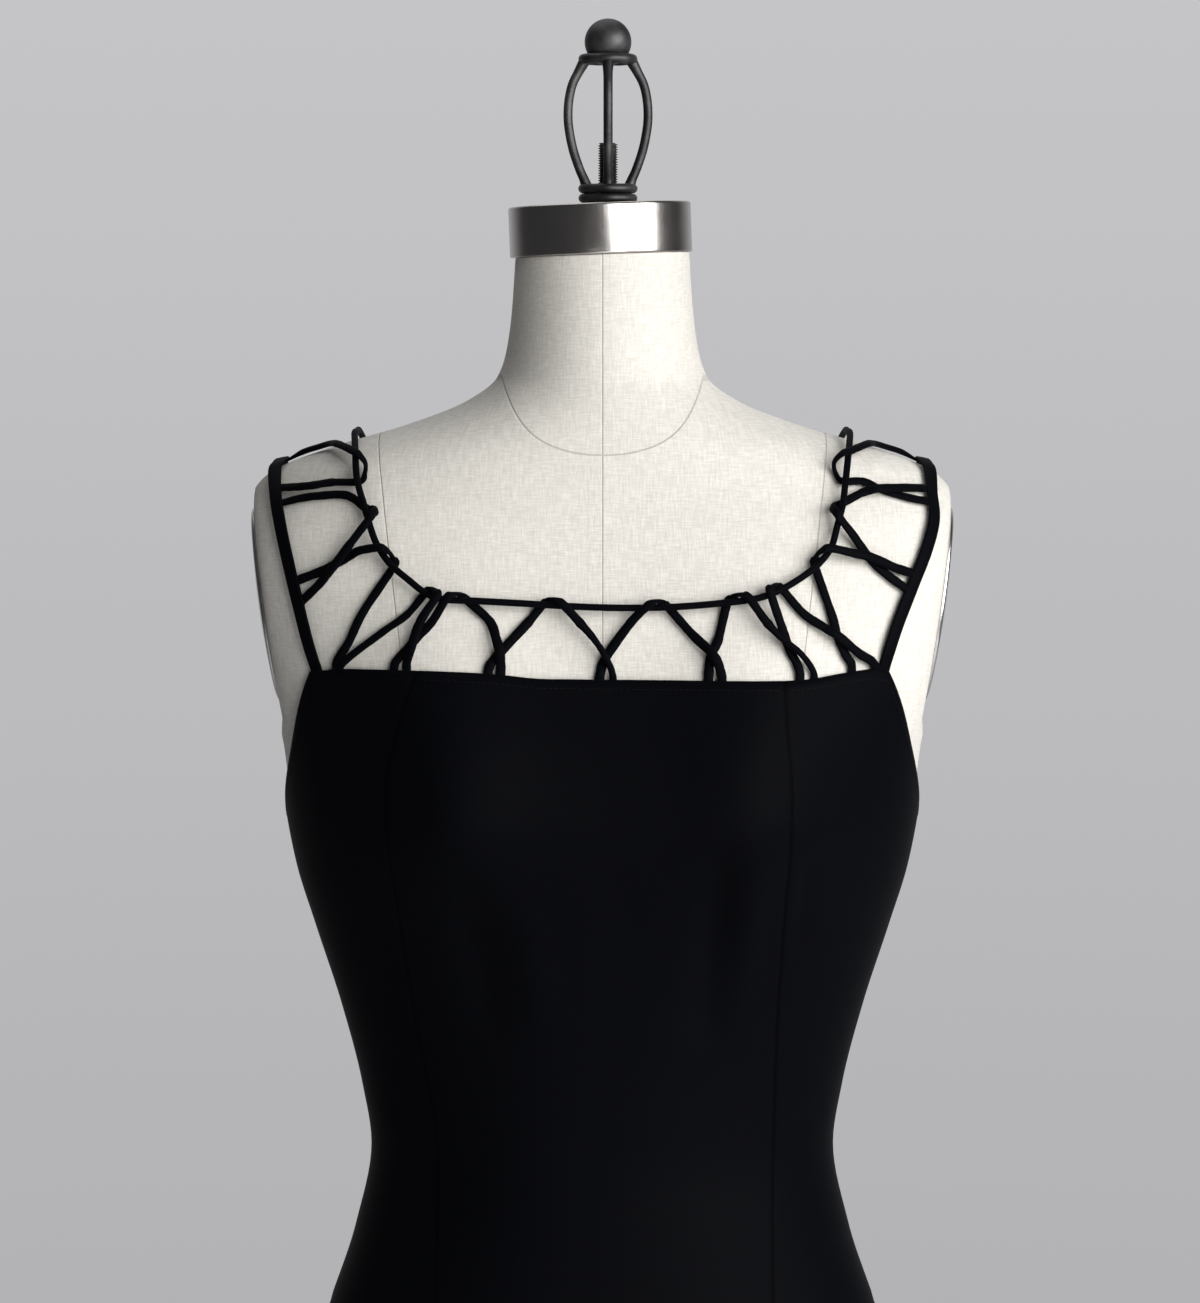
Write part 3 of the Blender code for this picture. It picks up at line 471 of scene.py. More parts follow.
ARM_TOP, ARM_BOTTOM = Vector((0.1842, 0, 1.383)), Vector((0.1678, 0, 1.263))
ARM_LEAN = math.atan2(ARM_TOP.x - ARM_BOTTOM.x, ARM_TOP.z - ARM_BOTTOM.z)
profile = [(0, 5.2), (0.25, 5.1), (0.5, 4.55), (0.72, 3.6), (0.87, 2.75), (0.935, 2.45), (0.95, 2.55),
           (0.965, 2.5), (0.985, 2.1), (0.997, 1.5), (1.0, 0.9), (0.995, 0.2), (0.98, 0), (0, 0)]
middle = (ARM_TOP + ARM_BOTTOM) / 2 + Matrix.Rotation(ARM_LEAN, 3, "Y") @ Vector((PIECE_GAP, 0, 0))
on_arm = Matrix.Translation(middle + Vector((0, -0.002, 0)))
on_arm @= Matrix.Rotation(ARM_LEAN + math.pi / 2, 4, "Y") @ Matrix.Diagonal((0.052, 0.039, 1, 1))
for side, sign in (("left", 1), ("right", -1)):
    mesh = turned_mesh(f"arm_plate_dome_{side}", [(r, h * MM) for r, h in profile], 96)
    mesh.transform(Matrix.Diagonal((sign, 1, 1, 1)) @ on_arm)
    if sign < 0:
        mesh.flip_normals()
    add_piece(f"arm_plate_dome_{side}", mesh, plate_finish, [f"arm_plate_{side}"])

# ---- The neck cap ----
# A turned disc of brushed nickel closes the neck. It sits a little tipped, and its edges are eased.

CAP_RADIUS, CAP_HEIGHT = 0.048, 0.0264
nickel = Finish("brushed_nickel", {"Metallic": 1.0, "Anisotropic": 0.45})
place = nickel.place()
brushed_up = nickel.noise(nickel.stretched(place, (2600, 2600, 60)), 1.0, 3, 0.6)
brushed_round = nickel.noise(nickel.stretched(place, (90, 90, 3200)), 1.0, 2, 0.5)
wear = nickel.noise(place, 60, 3)
lighter = brushed_up * 0.5 + wear * 0.4
nickel.feed("Base Color", nickel.blend(lighter, (0.38, 0.356, 0.336, 1), (0.60, 0.575, 0.55, 1)))
nickel.feed("Roughness", 0.12 + 0.10 * brushed_up + 0.06 * wear)
nickel.bump(brushed_up * 0.4 + brushed_round * 0.6, 0.22, 0.0002)
profile = [(0, CAP_HEIGHT), (0.03, CAP_HEIGHT)]
profile += rounded(CAP_RADIUS - 0.0014, CAP_HEIGHT - 0.0014, 0.0014, 90)
profile += [(CAP_RADIUS, CAP_HEIGHT / 2)]
profile += rounded(CAP_RADIUS - 0.0008, 0.0008, 0.0008, 0) + [(0, 0)]
cap_mesh = turned_mesh("neck_cap_disc", profile, 160)
cap_place = Matrix.Translation((-0.0006, -0.008, NECK_TOP + PIECE_GAP)) @ Matrix.Rotation(-CAP_TILT, 4, "Y")
cap_mesh.transform(cap_place)
add_piece("neck_cap_disc", cap_mesh, nickel, ["neck_cap"])

# ---- The finial ----
# Four bent steel wires are welded between rings to make a small cage, with a ball above. It screws
# down on a threaded rod that comes up through the cap. All of it is blackened.

AXIS_X, AXIS_Y = 0.003, -0.008


def oval(width, height, sides=14):
    turns = [2 * math.pi * j / sides for j in range(sides)]
    return [(width * math.cos(turn), height * math.sin(turn)) for turn in turns]


def swept_mesh(name, line, outs, sections, closed=False, crease=60):
    """A skin over sections set along a line. A section is a loop of points as (across, out), and `outs`
    says which way is out at each point of the line."""
    work = bmesh.new()
    layer = work.loops.layers.uv.new("grain")
    loops, lengths, facing = [], [0.0], outs[0]
    count, sides = len(line), len(sections[0])
    for k, spot in enumerate(line):
        before = line[(k - 1) % count] if closed or k else spot
        after = line[(k + 1) % count] if closed or k < count - 1 else spot
        direction = (after - before).normalized()
        wanted = outs[k] if outs[k].dot(facing) >= 0 else -outs[k]
        facing = (wanted - direction * wanted.dot(direction)).normalized()
        across = direction.cross(facing)
        loops.append([work.verts.new(spot + across * x + facing * h) for x, h in sections[k]])
        lengths.append(lengths[-1] + (after - spot).length)
    for k in range(count if closed else count - 1):
        here, after = loops[k], loops[(k + 1) % count]
        shift, girths = 0, [0.0]
        if k == count - 1:
            shift = min(range(sides), key=lambda s: (after[s].co - here[0].co).length)
        for (x0, h0), (x1, h1) in zip(sections[k], [*sections[k][1:], sections[k][0]]):
            girths.append(girths[-1] + math.hypot(x1 - x0, h1 - h0))
        for j in range(sides):
            far = [after[(i + shift) % sides] for i in (j + 1, j)]
            face = work.faces.new((here[j], here[(j + 1) % sides], *far))
            for loop, (a, b) in zip(face.loops, ((j, k), (j + 1, k), (j + 1, k + 1), (j, k + 1))):
                loop[layer].uv = (girths[a], lengths[b])
    if not closed:
        work.faces.new(loops[0])
        work.faces.new(list(reversed(loops[-1])))
    bmesh.ops.recalc_face_normals(work, faces=work.faces)
    return mesh_of(name, work, crease)


def ring_mesh(name, radius, thickness, z, steps=96):
    """A forged ring, a little uneven in thickness."""
    line, sections = [], []
    for k in range(steps):
        around = 2 * math.pi * k / steps
        line.append(Vector((AXIS_X + radius * math.cos(around), AXIS_Y + radius * math.sin(around), z)))
        uneven = 1 + 0.025 * math.sin(3 * around + radius * 900) + 0.02 * math.sin(7 * around)
        sections.append(oval(thickness / 2 * uneven, thickness / 2 * uneven, 24))
    return swept_mesh(name, line, [Vector((0, 0, 1))] * steps, sections, True)


for name, node, radius, thickness, z in (
    ("finial_base_hoop", "finial_base_ring", 0.0132, 0.0046, 1.5372),
    ("finial_lower_hoop", "finial_lower_ring", 0.0132, 0.0048, 1.5422),
    ("finial_upper_hoop", "finial_upper_ring", 0.0128, 0.0054, 1.6098),
):
    add_piece(name, ring_mesh(name, radius, thickness, z), steel, [node])

BALL_RADIUS = 0.0123
turns = [math.pi * k / 40 for k in range(1, 40)]
ball_profile = [(BALL_RADIUS * math.sin(turn), BALL_RADIUS * math.cos(turn)) for turn in turns]
ball_profile = [(0, BALL_RADIUS), *ball_profile, (0, -BALL_RADIUS)]
ball_mesh = turned_mesh("finial_knob", ball_profile, 64, (AXIS_X, AXIS_Y, 1.6187))
add_piece("finial_knob", ball_mesh, steel, ["finial_ball"])


def spline_points(points, each):
    """Points along a smooth curve through the given ones, `each` to a stretch."""
    made = []
    for k in range(len(points) - 1):
        before = points[max(k - 1, 0)]
        here, after = points[k], points[k + 1]
        beyond = points[min(k + 2, len(points) - 1)]
        for step in range(each):
            t = step / each
            made.append(0.5 * (
                2 * here + (after - before) * t + (2 * before - 5 * here + 4 * after - beyond) * t**2
                + (3 * here - before - 3 * after + beyond) * t**3
            ))
    made.append(points[-1].copy())
    return made


# Radius and height of the bend. The wire swells at both ends, where it is welded.
WIRE_RADIUS, WELD_SWELL, WELD_STEPS = 0.0024, 0.0006, 5
WIRE_BEND = ((0.0112, 1.5430), (0.0126, 1.5470), (0.0150, 1.5525), (0.0182, 1.5620), (0.0203, 1.5720),
             (0.0210, 1.5800), (0.0205, 1.5885), (0.0187, 1.5965), (0.0154, 1.6032), (0.0122, 1.6090))
for k, name in enumerate(("left", "back", "right", "front")):
    around = k * math.pi / 2
    out = Vector((math.cos(around), math.sin(around), 0))
    bend = [Vector((AXIS_X, AXIS_Y, z)) + out * radius for radius, z in WIRE_BEND]
    line = spline_points(bend, 6)
    sections = []
    for j in range(len(line)):
        from_end = min(j, len(line) - 1 - j) / WELD_STEPS
        size = WIRE_RADIUS + WELD_SWELL * math.exp(-from_end * from_end)
        sections.append(oval(size, size, 20))
    mesh = swept_mesh(f"finial_cage_wire_{name}", line, [out] * len(line), sections)
    add_piece(f"finial_cage_wire_{name}", mesh, steel, [f"finial_wire_{name}"])

PITCH, ROD_FOOT, ROD_TOP = 0.0013, 1.5350, 1.5660
work = bmesh.new()
levels, sides, rings = 230, 32, []
for row in range(levels + 1):
    z = ROD_FOOT + (ROD_TOP - ROD_FOOT) * row / levels
    ring = []
    for k in range(sides):
        turn = k / sides
        flank = abs(((z / PITCH - turn) % 1.0) - 0.5) * 2
        taper = min((ROD_TOP - z) / 0.0008, 1.0) * 0.0006
        radius = 0.0042 + 0.0010 * min(max(flank * 1.5 - 0.25, 0), 1) - 0.0006 + taper
        around = 2 * math.pi * turn
        spot = (AXIS_X + radius * math.cos(around), AXIS_Y + radius * math.sin(around), z)
        ring.append(work.verts.new(spot))
    rings.append(ring)
for lower, upper in zip(rings, rings[1:]):
    for k in range(sides):
        work.faces.new((lower[k], lower[(k + 1) % sides], upper[(k + 1) % sides], upper[k]))
work.faces.new(list(reversed(rings[0])))
work.faces.new(rings[-1])
rod_mesh = mesh_of("finial_threaded_rod", work, 30)
add_piece("finial_threaded_rod", rod_mesh, steel, ["finial_rod"])

# ---- The dress: panels ----
# Seven panels of black crepe run from the bodice's edge to the floor-length hem, sewn to each other
# in princess and side seams. The edge is faced, and creases gather softly at the waist.

EASE, CLOTH, WALL, HEM = 0.0019, 0.0014, 0.0009, 0.055
SKIRT = (
    (HEM, 0.3300, 0.2950, 0.2950),
    (0.2000, 0.3010, 0.2580, 0.2660),
    (0.4000, 0.2640, 0.2120, 0.2280),
    (0.6000, 0.2260, 0.1680, 0.1880),
    (0.7400, 0.2010, 0.1400, 0.1600),
    (0.8400, 0.1810, 0.1190, 0.1400),
    (0.9000, 0.1655, 0.1100, 0.1300),
    (0.9480, 0.1459, 0.1008, 0.1148),
)
SKIRT_TOP, FOLDS_START, FOLDS, FOLD_DEPTH = 0.948, 0.930, 8, 0.030
TOP_EDGE = (
    (-0.1510, 1.2925), (-0.1300, 1.2950), (-0.0910, 1.2955), (-0.0600, 1.2945), (-0.0285, 1.2915),
    (0.0530, 1.2908), (0.0995, 1.2905), (0.1265, 1.2935), (0.1395, 1.2945), (0.1480, 1.2925),
)
UNDERARM, EDGE_LEVEL = 1.2143, 1.293
SEAM_RIGHT = (
    (HEM, -0.150), (0.60, -0.112), (0.84, -0.092), (0.97, -0.0870), (1.04, -0.0860),
    (1.104, -0.0955), (1.16, -0.1035), (1.232, -0.1105), (1.277, -0.1010), (1.2955, -0.0945),
)
SEAM_LEFT = (
    (HEM, 0.150), (0.60, 0.112), (0.84, 0.092), (0.97, 0.0890), (1.04, 0.0895),
    (1.104, 0.0905), (1.16, 0.0930), (1.232, 0.0965), (1.277, 0.0930), (1.2905, 0.0925),
)
SHARED_ROW = 1.100
LOWER_ROWS = (
    1.067, 1.035, 1.000, 0.965, 0.930, 0.890, 0.840, 0.770, 0.670, 0.560, 0.440, 0.310, 0.180, HEM,
)
UPPER_STEPS, ROWS_BETWEEN = 42, 6

# Creases of the cloth: two ends as x and height, half width, depth (a trough is positive)
FRONT_CREASES = (
    ((0.0610, 1.214), (0.0500, 1.098), 0.0085, 0.0036),
    ((0.0800, 1.214), (0.0680, 1.096), 0.0075, -0.0026),
    ((-0.0700, 1.200), (-0.0560, 1.100), 0.0100, 0.0026),
    ((-0.0420, 1.190), (-0.0300, 1.104), 0.0100, -0.0014),
    ((0.0120, 1.196), (0.0140, 1.118), 0.0110, 0.0010),
    ((0.1060, 1.204), (0.1010, 1.148), 0.0038, 0.0014),
    ((-0.1150, 1.190), (-0.1060, 1.130), 0.0045, 0.0010),
    ((0.0300, 1.050), (-0.0300, 1.044), 0.0080, 0.0006),
    ((-0.0900, 1.052), (-0.1150, 1.062), 0.0060, 0.0009),
    ((0.0920, 1.048), (0.1180, 1.060), 0.0060, 0.0009),
)
BACK_CREASES = (
    ((0.0640, 1.150), (0.0500, 1.060), 0.0070, 0.0018),
    ((-0.0640, 1.146), (-0.0510, 1.062), 0.0070, 0.0018),
    ((0.0160, 1.052), (0.0620, 1.043), 0.0065, 0.0015),
    ((-0.0160, 1.050), (-0.0620, 1.041), 0.0065, 0.0014),
    ((0.0180, 1.030), (0.0780, 1.016), 0.0070, 0.0013),
    ((-0.0180, 1.028), (-0.0760, 1.018), 0.0070, 0.0012),
)


def skirt_fold(around, z):
    drop = min(max((FOLDS_START - z) / (FOLDS_START - HEM), 0.0), 1.0)
    turned_by = around + 0.05 * math.sin(2 * around)
    depth = FOLD_DEPTH * (1 + 0.25 * math.sin(2 * around + 0.4 * math.sin(4 * around)))
    return depth * drop**1.3 * (0.5 + 0.5 * math.cos(FOLDS * turned_by))


sections = {}


def cloth_section(z):
    """The dress's outer face at height z, as half width, front, back, centre and roundness."""
    if z not in sections:
        if z < SKIRT_TOP:
            half_width, front, back = smooth(SKIRT, z)
            centre, roundness = 0.0, 2.2 - 0.2 * (SKIRT_TOP - z) / (SKIRT_TOP - HEM)
        else:
            half_width, front, back, centre, roundness = smooth(BODY, z)
            half_width, front, back = (value + EASE + CLOTH for value in (half_width, front, back))
        sections[z] = (half_width, front, back, centre, roundness)
    return sections[z]


def cloth_point(around, z):
    """A point of the dress's outer face. `around` is -90 degrees at the front and 90 at the back."""
    half_width, front, back, centre, roundness = cloth_section(z)
    fold = skirt_fold(around, z)
    power = 2 / roundness
    x = (half_width + fold) * signed_power(math.cos(around), power)
    if math.sin(around) > 0:
        return Vector((x, centre + (back + fold) * math.sin(around) ** power, z))
    bridge = 0.007 * math.exp(-((x / 0.055) ** 2) - ((z - BUST_Z) / 0.06) ** 2)
    depth = front + fold + bust(x, z) + bridge
    return Vector((x, centre - depth * abs(math.sin(around)) ** power, z))


def cloth_inward(around, z):
    turn, rise = math.radians(0.5), 0.001
    across = cloth_point(around + turn, z) - cloth_point(around - turn, z)
    up = cloth_point(around, z + rise) - cloth_point(around, z - rise)
    return up.cross(across).normalized()


def around_at(x, z, side):
    """The angle at which the dress's outer face is at x, on the front (-1) or the back (1)."""
    low, high = 0.0, math.pi / 2
    for _ in range(24):
        middle = (low + high) / 2
        low, high = (middle, high) if cloth_point(side * middle, z).x > abs(x) else (low, middle)
    return side * low if x > 0 else side * (math.pi - low)


def edge_height(x):
    return smooth(TOP_EDGE, x)[0]


CORNER = {"left": TOP_EDGE[-1], "right": TOP_EDGE[0]}
PRINCESS = {"left": SEAM_LEFT, "right": SEAM_RIGHT}


def seam(kind, side, z):
    if kind == "side":
        return 0.0 if side == "left" else -math.pi
    if kind == "centre_back":
        return math.pi / 2 if side == "left" else -1.5 * math.pi
    x = smooth(PRINCESS[side], z)[0]
    if kind == "front_princess":
        return around_at(x, z, -1)
    return around_at(x, z, 1) - (0 if side == "left" else 2 * math.pi)


def seam_top(kind, side):
    if kind == "side":
        return UNDERARM
    return edge_height(0 if kind == "centre_back" else PRINCESS[side][-1][1])


def armhole_height(portion, side):
    """The armhole from the underarm (portion 0) up to the bodice's corner (portion 1)."""
    rounding = 0.2
    rise = (math.hypot(portion, rounding) - rounding) / (math.hypot(1, rounding) - rounding)
    return UNDERARM + (CORNER[side][1] - UNDERARM) * rise


def rows_from(top):
    rows = [top + (SHARED_ROW - top) * k / UPPER_STEPS for k in range(UPPER_STEPS)]
    levels = [SHARED_ROW, *LOWER_ROWS]
    for above, below in zip(levels, levels[1:]):
        rows += [above + (below - above) * k / ROWS_BETWEEN for k in range(ROWS_BETWEEN)]
    return [*rows, HEM]


def crease_depth(spot):
    """How far the cloth sinks in its creases at a point of its outer face."""
    total = 0.0
    for (x0, z0), (x1, z1), width, depth in FRONT_CREASES if spot.y < 0 else BACK_CREASES:
        run_x, run_z = x1 - x0, z1 - z0
        reach = math.hypot(run_x, run_z)
        t = ((spot.x - x0) * run_x + (spot.z - z0) * run_z) / reach**2
        off_line = ((spot.x - x0) * run_z - (spot.z - z0) * run_x) / reach
        fade = math.sin(math.pi * min(max(t, 0.0), 1.0)) ** 0.8 if 0 < t < 1 else 0.0
        total += depth * fade * math.exp(-((off_line / width) ** 2))
    return total


# The last number is how far in from a panel's edge the painted seam shade reaches.
SEAM_ROLL, SEAM_SINK, SEAM_SHADE_REACH = 0.0022, 0.0004, 0.0018
HEM_TURN, HEM_DIP = 0.022, 0.0005  # the hem's blind stitches pull in a shallow line


def edge_sink(distance):
    """A seam or an edge draws the cloth in over its last few millimetres."""
    return SEAM_SINK * max(1 - distance / SEAM_ROLL, 0.0) ** 2


SEAM_TOUCH, ZIP_ROOM = 0.00003, 0.00045  # from a panel's edge to the seam's line


def panel_mesh(name, start, end, shape, last_gap):
    """A panel's outer face, its rolled edges and its inner face."""
    first_rows, last_rows = rows_from(seam_top(*start)), rows_from(seam_top(*end))
    firsts = [seam(*start, z) for z in first_rows]
    lasts = [seam(*end, z) for z in last_rows]
    grid = []
    for portion, top in shape:
        line = []
        for row, z in enumerate(rows_from(top)):
            around = firsts[row] + (lasts[row] - firsts[row]) * portion
            line.append((cloth_point(around, z), cloth_inward(around, z)))
        grid.append(line)
    for edge, inner, gap in ((0, 1, SEAM_TOUCH), (-1, -2, last_gap)):
        moved = []
        for (outer, away), (towards, _) in zip(grid[edge], grid[inner]):
            step = towards - outer
            moved.append((outer + (step - away * step.dot(away)).normalized() * gap, away))
        grid[edge] = moved
    if lasts[-1] < firsts[-1]:
        grid.reverse()
    columns, rows = len(grid), len(grid[0])
    spots = []
    for k in range(columns):
        line = []
        for row in range(rows):
            outer, away = grid[k][row]
            beside = min((outer - grid[0][row][0]).length, (outer - grid[-1][row][0]).length)
            sink = edge_sink(beside) + 0.6 * edge_sink((outer - grid[k][0][0]).length)
            hem_line = (outer - grid[k][-1][0]).length
            sink += HEM_DIP * math.exp(-(((hem_line - HEM_TURN) / 0.0035) ** 2))
            outer = outer + away * (sink + crease_depth(outer))
            line.append((outer, outer + away * WALL / 2, outer + away * WALL))
        spots.append(line)
    work = bmesh.new()
    layer = work.loops.layers.uv.new("grain")
    # The seam UV layer holds painted shade. It is 1 at a panel's edges and falls to 0 a couple of
    # millimetres in, and the crepe is darkened there as shade in the seam.
    seam_shade_layer = work.loops.layers.uv.new("seam")
    outer = [[work.verts.new(spot[0]) for spot in line] for line in spots]
    inner = [[work.verts.new(spot[2]) for spot in line] for line in spots]
    middle_column = columns // 2

    def grain(vert_spots, face):
        for loop, (k, row) in zip(face.loops, vert_spots):
            side = 1 if k >= middle_column else -1
            u = side * (spots[k][row][0] - spots[middle_column][row][0]).length
            loop[layer].uv = (u, spots[k][row][0].z)
            beside = min((spots[k][row][0] - spots[edge][row][0]).length for edge in (0, -1))
            loop[seam_shade_layer].uv = (max(1 - beside / SEAM_SHADE_REACH, 0.0), 0)

    for k in range(columns - 1):
        for row in range(rows - 1):
            cell = ((k, row), (k, row + 1), (k + 1, row + 1), (k + 1, row))
            grain(cell, work.faces.new([outer[c][r] for c, r in cell]))
            grain(cell[::-1], work.faces.new([inner[c][r] for c, r in cell[::-1]]))
    rim = [(k, 0) for k in range(columns)] + [(columns - 1, row) for row in range(1, rows)]
    rim += [(k, rows - 1) for k in range(columns - 2, -1, -1)]
    rim += [(0, row) for row in range(rows - 2, 0, -1)]
    bulge = []
    for k, row in rim:
        outward = Vector((0, 0, 0))
        if row == 0:
            outward += spots[k][0][1] - spots[k][1][1]
        if row == rows - 1:
            outward += spots[k][-1][1] - spots[k][-2][1]
        bulge.append(work.verts.new(spots[k][row][1] + outward.normalized() * WALL * 0.35))
    for here in range(len(rim)):
        after = (here + 1) % len(rim)
        (k0, r0), (k1, r1) = rim[here], rim[after]
        face = work.faces.new((outer[k0][r0], outer[k1][r1], bulge[after], bulge[here]))
        grain((rim[here], rim[after], rim[after], rim[here]), face)
        face = work.faces.new((bulge[here], bulge[after], inner[k1][r1], inner[k0][r0]))
        grain((rim[here], rim[after], rim[after], rim[here]), face)
    return mesh_of(name, work, 70)


crepe = Finish("black_crepe", {"Specular IOR Level": 0.022, "Sheen Weight": 0.012, "Sheen Roughness": 0.5,
                               "Sheen Tint": (0.75, 0.8, 0.9, 1)})
grain = crepe.node("ShaderNodeUVMap", {"uv_map": "grain"})
pebble = crepe.noise(crepe.stretched(grain, (1500, 1100, 1)), 1.0, 3, 0.65)
crimp = crepe.noise(crepe.stretched(grain, (420, 2300, 1)), 1.0, 2, 0.5)
place = crepe.place()
rubbed = crepe.noise(place, 6, 3)
relief = pebble * 0.65 + crimp * 0.35
# Painted shade: the crepe goes nearly black close to each seam and edge, standing in for the shade in the
# seam's well.
seam_shade_map = crepe.node("ShaderNodeUVMap", {"uv_map": "seam"})
painted_seam_shade = crepe.along(seam_shade_map, "X")
worn = relief * 0.7 + rubbed * 0.3
cloth_colour = crepe.blend(worn, (0.0007, 0.0008, 0.0013, 1), (0.0019, 0.0021, 0.0033, 1))
crepe.feed("Base Color", crepe.blend(painted_seam_shade * 0.8, cloth_colour, (0.0001, 0.0001, 0.0002, 1)))
crepe.feed("Roughness", 0.50 + 0.14 * relief + 0.06 * rubbed)
crepe.bump(relief, 0.35, 0.00022)


def shares(count):
    """Portions from 0 to 1, closer together at both seams."""
    even = [k / count for k in range(count + 1)]
    ends = [0.012, 0.03, 0.055]
    return sorted({*even, *ends, *(1 - e for e in ends)})


def neckline_shape(start, end, count):
    first, last = seam(*start, seam_top(*start)), seam(*end, seam_top(*end))
    shape = []
    for portion in shares(count):
        x = cloth_point(first + (last - first) * portion, EDGE_LEVEL).x
        shape.append((portion, edge_height(x)))
    shape[0], shape[-1] = (0.0, seam_top(*start)), (1.0, seam_top(*end))
    return shape


def armhole_shape(kind, side, count):
    start, end = (kind, side), ("side", side)
    first, last = seam(*start, seam_top(*start)), seam(*end, UNDERARM)
    corner = around_at(*CORNER[side], -1 if kind == "front_princess" else 1)
    if side == "right" and corner > 0:
        corner -= 2 * math.pi
    turn = (corner - first) / (last - first)
    shape = [(0.0, seam_top(*start))]
    for portion in sorted({*shares(count), turn})[1:]:
        around = first + (last - first) * portion
        if portion <= turn:
            shape.append((portion, edge_height(cloth_point(around, EDGE_LEVEL).x)))
        else:
            shape.append((portion, armhole_height((around - last) / (corner - last), side)))
    return shape


# Each kind of panel's flat width and length, and its area
FLAT = {
    "front_centre": ((0.345, 1.26), 0.300),
    "side": ((0.330, 1.26), 0.250),
    "centre_back": ((0.180, 1.26), 0.150),
}
front = ("front_princess", "right"), ("front_princess", "left")
panel_list = [("front_centre_panel", *front, neckline_shape(*front, 40), SEAM_TOUCH)]
for side in ("left", "right"):
    for part in ("front", "back"):
        kind = f"{part}_princess"
        shape = armhole_shape(kind, side, 34)
        panel_list.append((f"side_{part}_panel_{side}", (kind, side), ("side", side), shape, SEAM_TOUCH))
    back = ("back_princess", side), ("centre_back", side)
    panel_list.append((f"centre_back_panel_{side}", *back, neckline_shape(*back, 22), ZIP_ROOM))
cloth_pieces = {}
for node, *cut in panel_list:
    name = f"crepe_{node}"
    cloth_pieces[node] = add_piece(name, panel_mesh(name, *cut), crepe, [node])

# ---- The dress: zip ----
# An invisible zip closes the centre back down to the hip: fine nylon coils that meet edge to edge,
# and a drop-shaped pull at the top.

zip_finish = Finish("black_zip", {"Specular IOR Level": 0.5})
place = zip_finish.place()
worn = zip_finish.noise(place, 700, 3)
zip_finish.feed("Base Color", zip_finish.blend(worn, (0.004, 0.004, 0.005, 1), (0.012, 0.012, 0.014, 1)))
zip_finish.feed("Roughness", 0.30 + 0.2 * worn)
zip_finish.bump(worn, 0.2, 0.0001)
ZIP_MARKS, MARK_STEP, ZIP_SINK = 82, 0.004, Vector((0, 0.0006, 0))
zip_top = edge_height(0) - 0.002
zip_line = [cloth_point(math.pi / 2, zip_top - MARK_STEP * k) - ZIP_SINK for k in range(ZIP_MARKS)]


def strung(name, lines):
    """A curve object with one straight-sided stroke for each line of points."""
    curve = bpy.data.curves.new(name, "CURVE")
    curve.dimensions = "3D"
    for line in lines:
        stroke = curve.splines.new("POLY")
        stroke.points.add(len(line) - 1)
        for point, spot in zip(stroke.points, line):
            point.co = (*spot, 1)
    path = bpy.data.objects.new(name, curve)
    bpy.context.scene.collection.objects.link(path)
    return path


def bead_row(name, spacing, half_sizes):
    """A tree that sets beads at equal steps along a curve, turned with it. `half_sizes` names the inputs
    for a bead's size along the curve, across it and out from it."""
    tree = bpy.data.node_groups.new(name, "GeometryNodeTree")
    numbers = [(label, "Float") for label in (spacing, *dict.fromkeys(half_sizes))]
    for label, kind in (("Geometry", "Geometry"), *numbers, ("Finish", "Material")):
        tree.interface.new_socket(label, in_out="INPUT", socket_type=f"NodeSocket{kind}")
    tree.interface.new_socket("Geometry", in_out="OUTPUT", socket_type="NodeSocketGeometry")

    def add(kind, sockets=None, settings=None):
        made = tree.nodes.new(kind)
        for label, value in (settings or {}).items():
            setattr(made, label, value)
        for label, value in (sockets or {}).items():
            if isinstance(value, bpy.types.NodeSocket):
                tree.links.new(value, made.inputs[label])
            else:
                made.inputs[label].default_value = value
        return made.outputs

    given = add("NodeGroupInput")
    along = {"Curve": given["Geometry"], "Length": given[spacing]}
    spots = add("GeometryNodeResampleCurve", along, {"mode": "LENGTH"})
    tangent, normal = add("GeometryNodeInputTangent")[0], add("GeometryNodeInputNormal")[0]
    ways = {"Primary Axis": tangent, "Secondary Axis": normal}
    turn = add("FunctionNodeAxesToRotation", ways, {"primary_axis": "X", "secondary_axis": "Z"})
    bead = add("GeometryNodeMeshUVSphere", {"Segments": 8, "Rings": 6})
    size = add("ShaderNodeCombineXYZ", {axis: given[label] for axis, label in zip("XYZ", half_sizes)})
    item = add("GeometryNodeTransform", {"Geometry": bead["Mesh"], "Scale": size[0]})
    row = add("GeometryNodeInstanceOnPoints",
              {"Points": spots[0], "Instance": item[0], "Rotation": turn[0]})
    real = add("GeometryNodeRealizeInstances", {"Geometry": row[0]})
    smoothed = add("GeometryNodeSetShadeSmooth", {"Geometry": real[0]})
    painted = add("GeometryNodeSetMaterial", {"Geometry": smoothed[0], "Material": given["Finish"]})
    add("NodeGroupOutput", {"Geometry": painted[0]})
    return tree


def grown(name, piece, tree, values):
    """The plain mesh that a tree makes on an object, with its inputs set; the object is then removed."""
    grow = piece.modifiers.new("grow", "NODES")
    grow.node_group = tree
    for item in tree.interface.items_tree:
        if item.in_out == "INPUT" and item.name in values:
            grow[item.identifier] = values[item.name]
    seen_by = bpy.context.evaluated_depsgraph_get()
    mesh = bpy.data.meshes.new_from_object(piece.evaluated_get(seen_by))
    mesh.name = name
    bpy.data.objects.remove(piece)
    return mesh


coil_tree = bead_row("zip_coil_turns", "Pitch", ("Turn thickness", "Turn width", "Turn thickness"))
coil_mesh = grown("zip_coils", strung("zip_path", [zip_line]), coil_tree, {
    "Pitch": 0.0009, "Turn thickness": 0.00036, "Turn width": 0.00042, "Finish": zip_finish.material,
})
add_piece("zip_coils", coil_mesh, zip_finish, ["back_zip"])

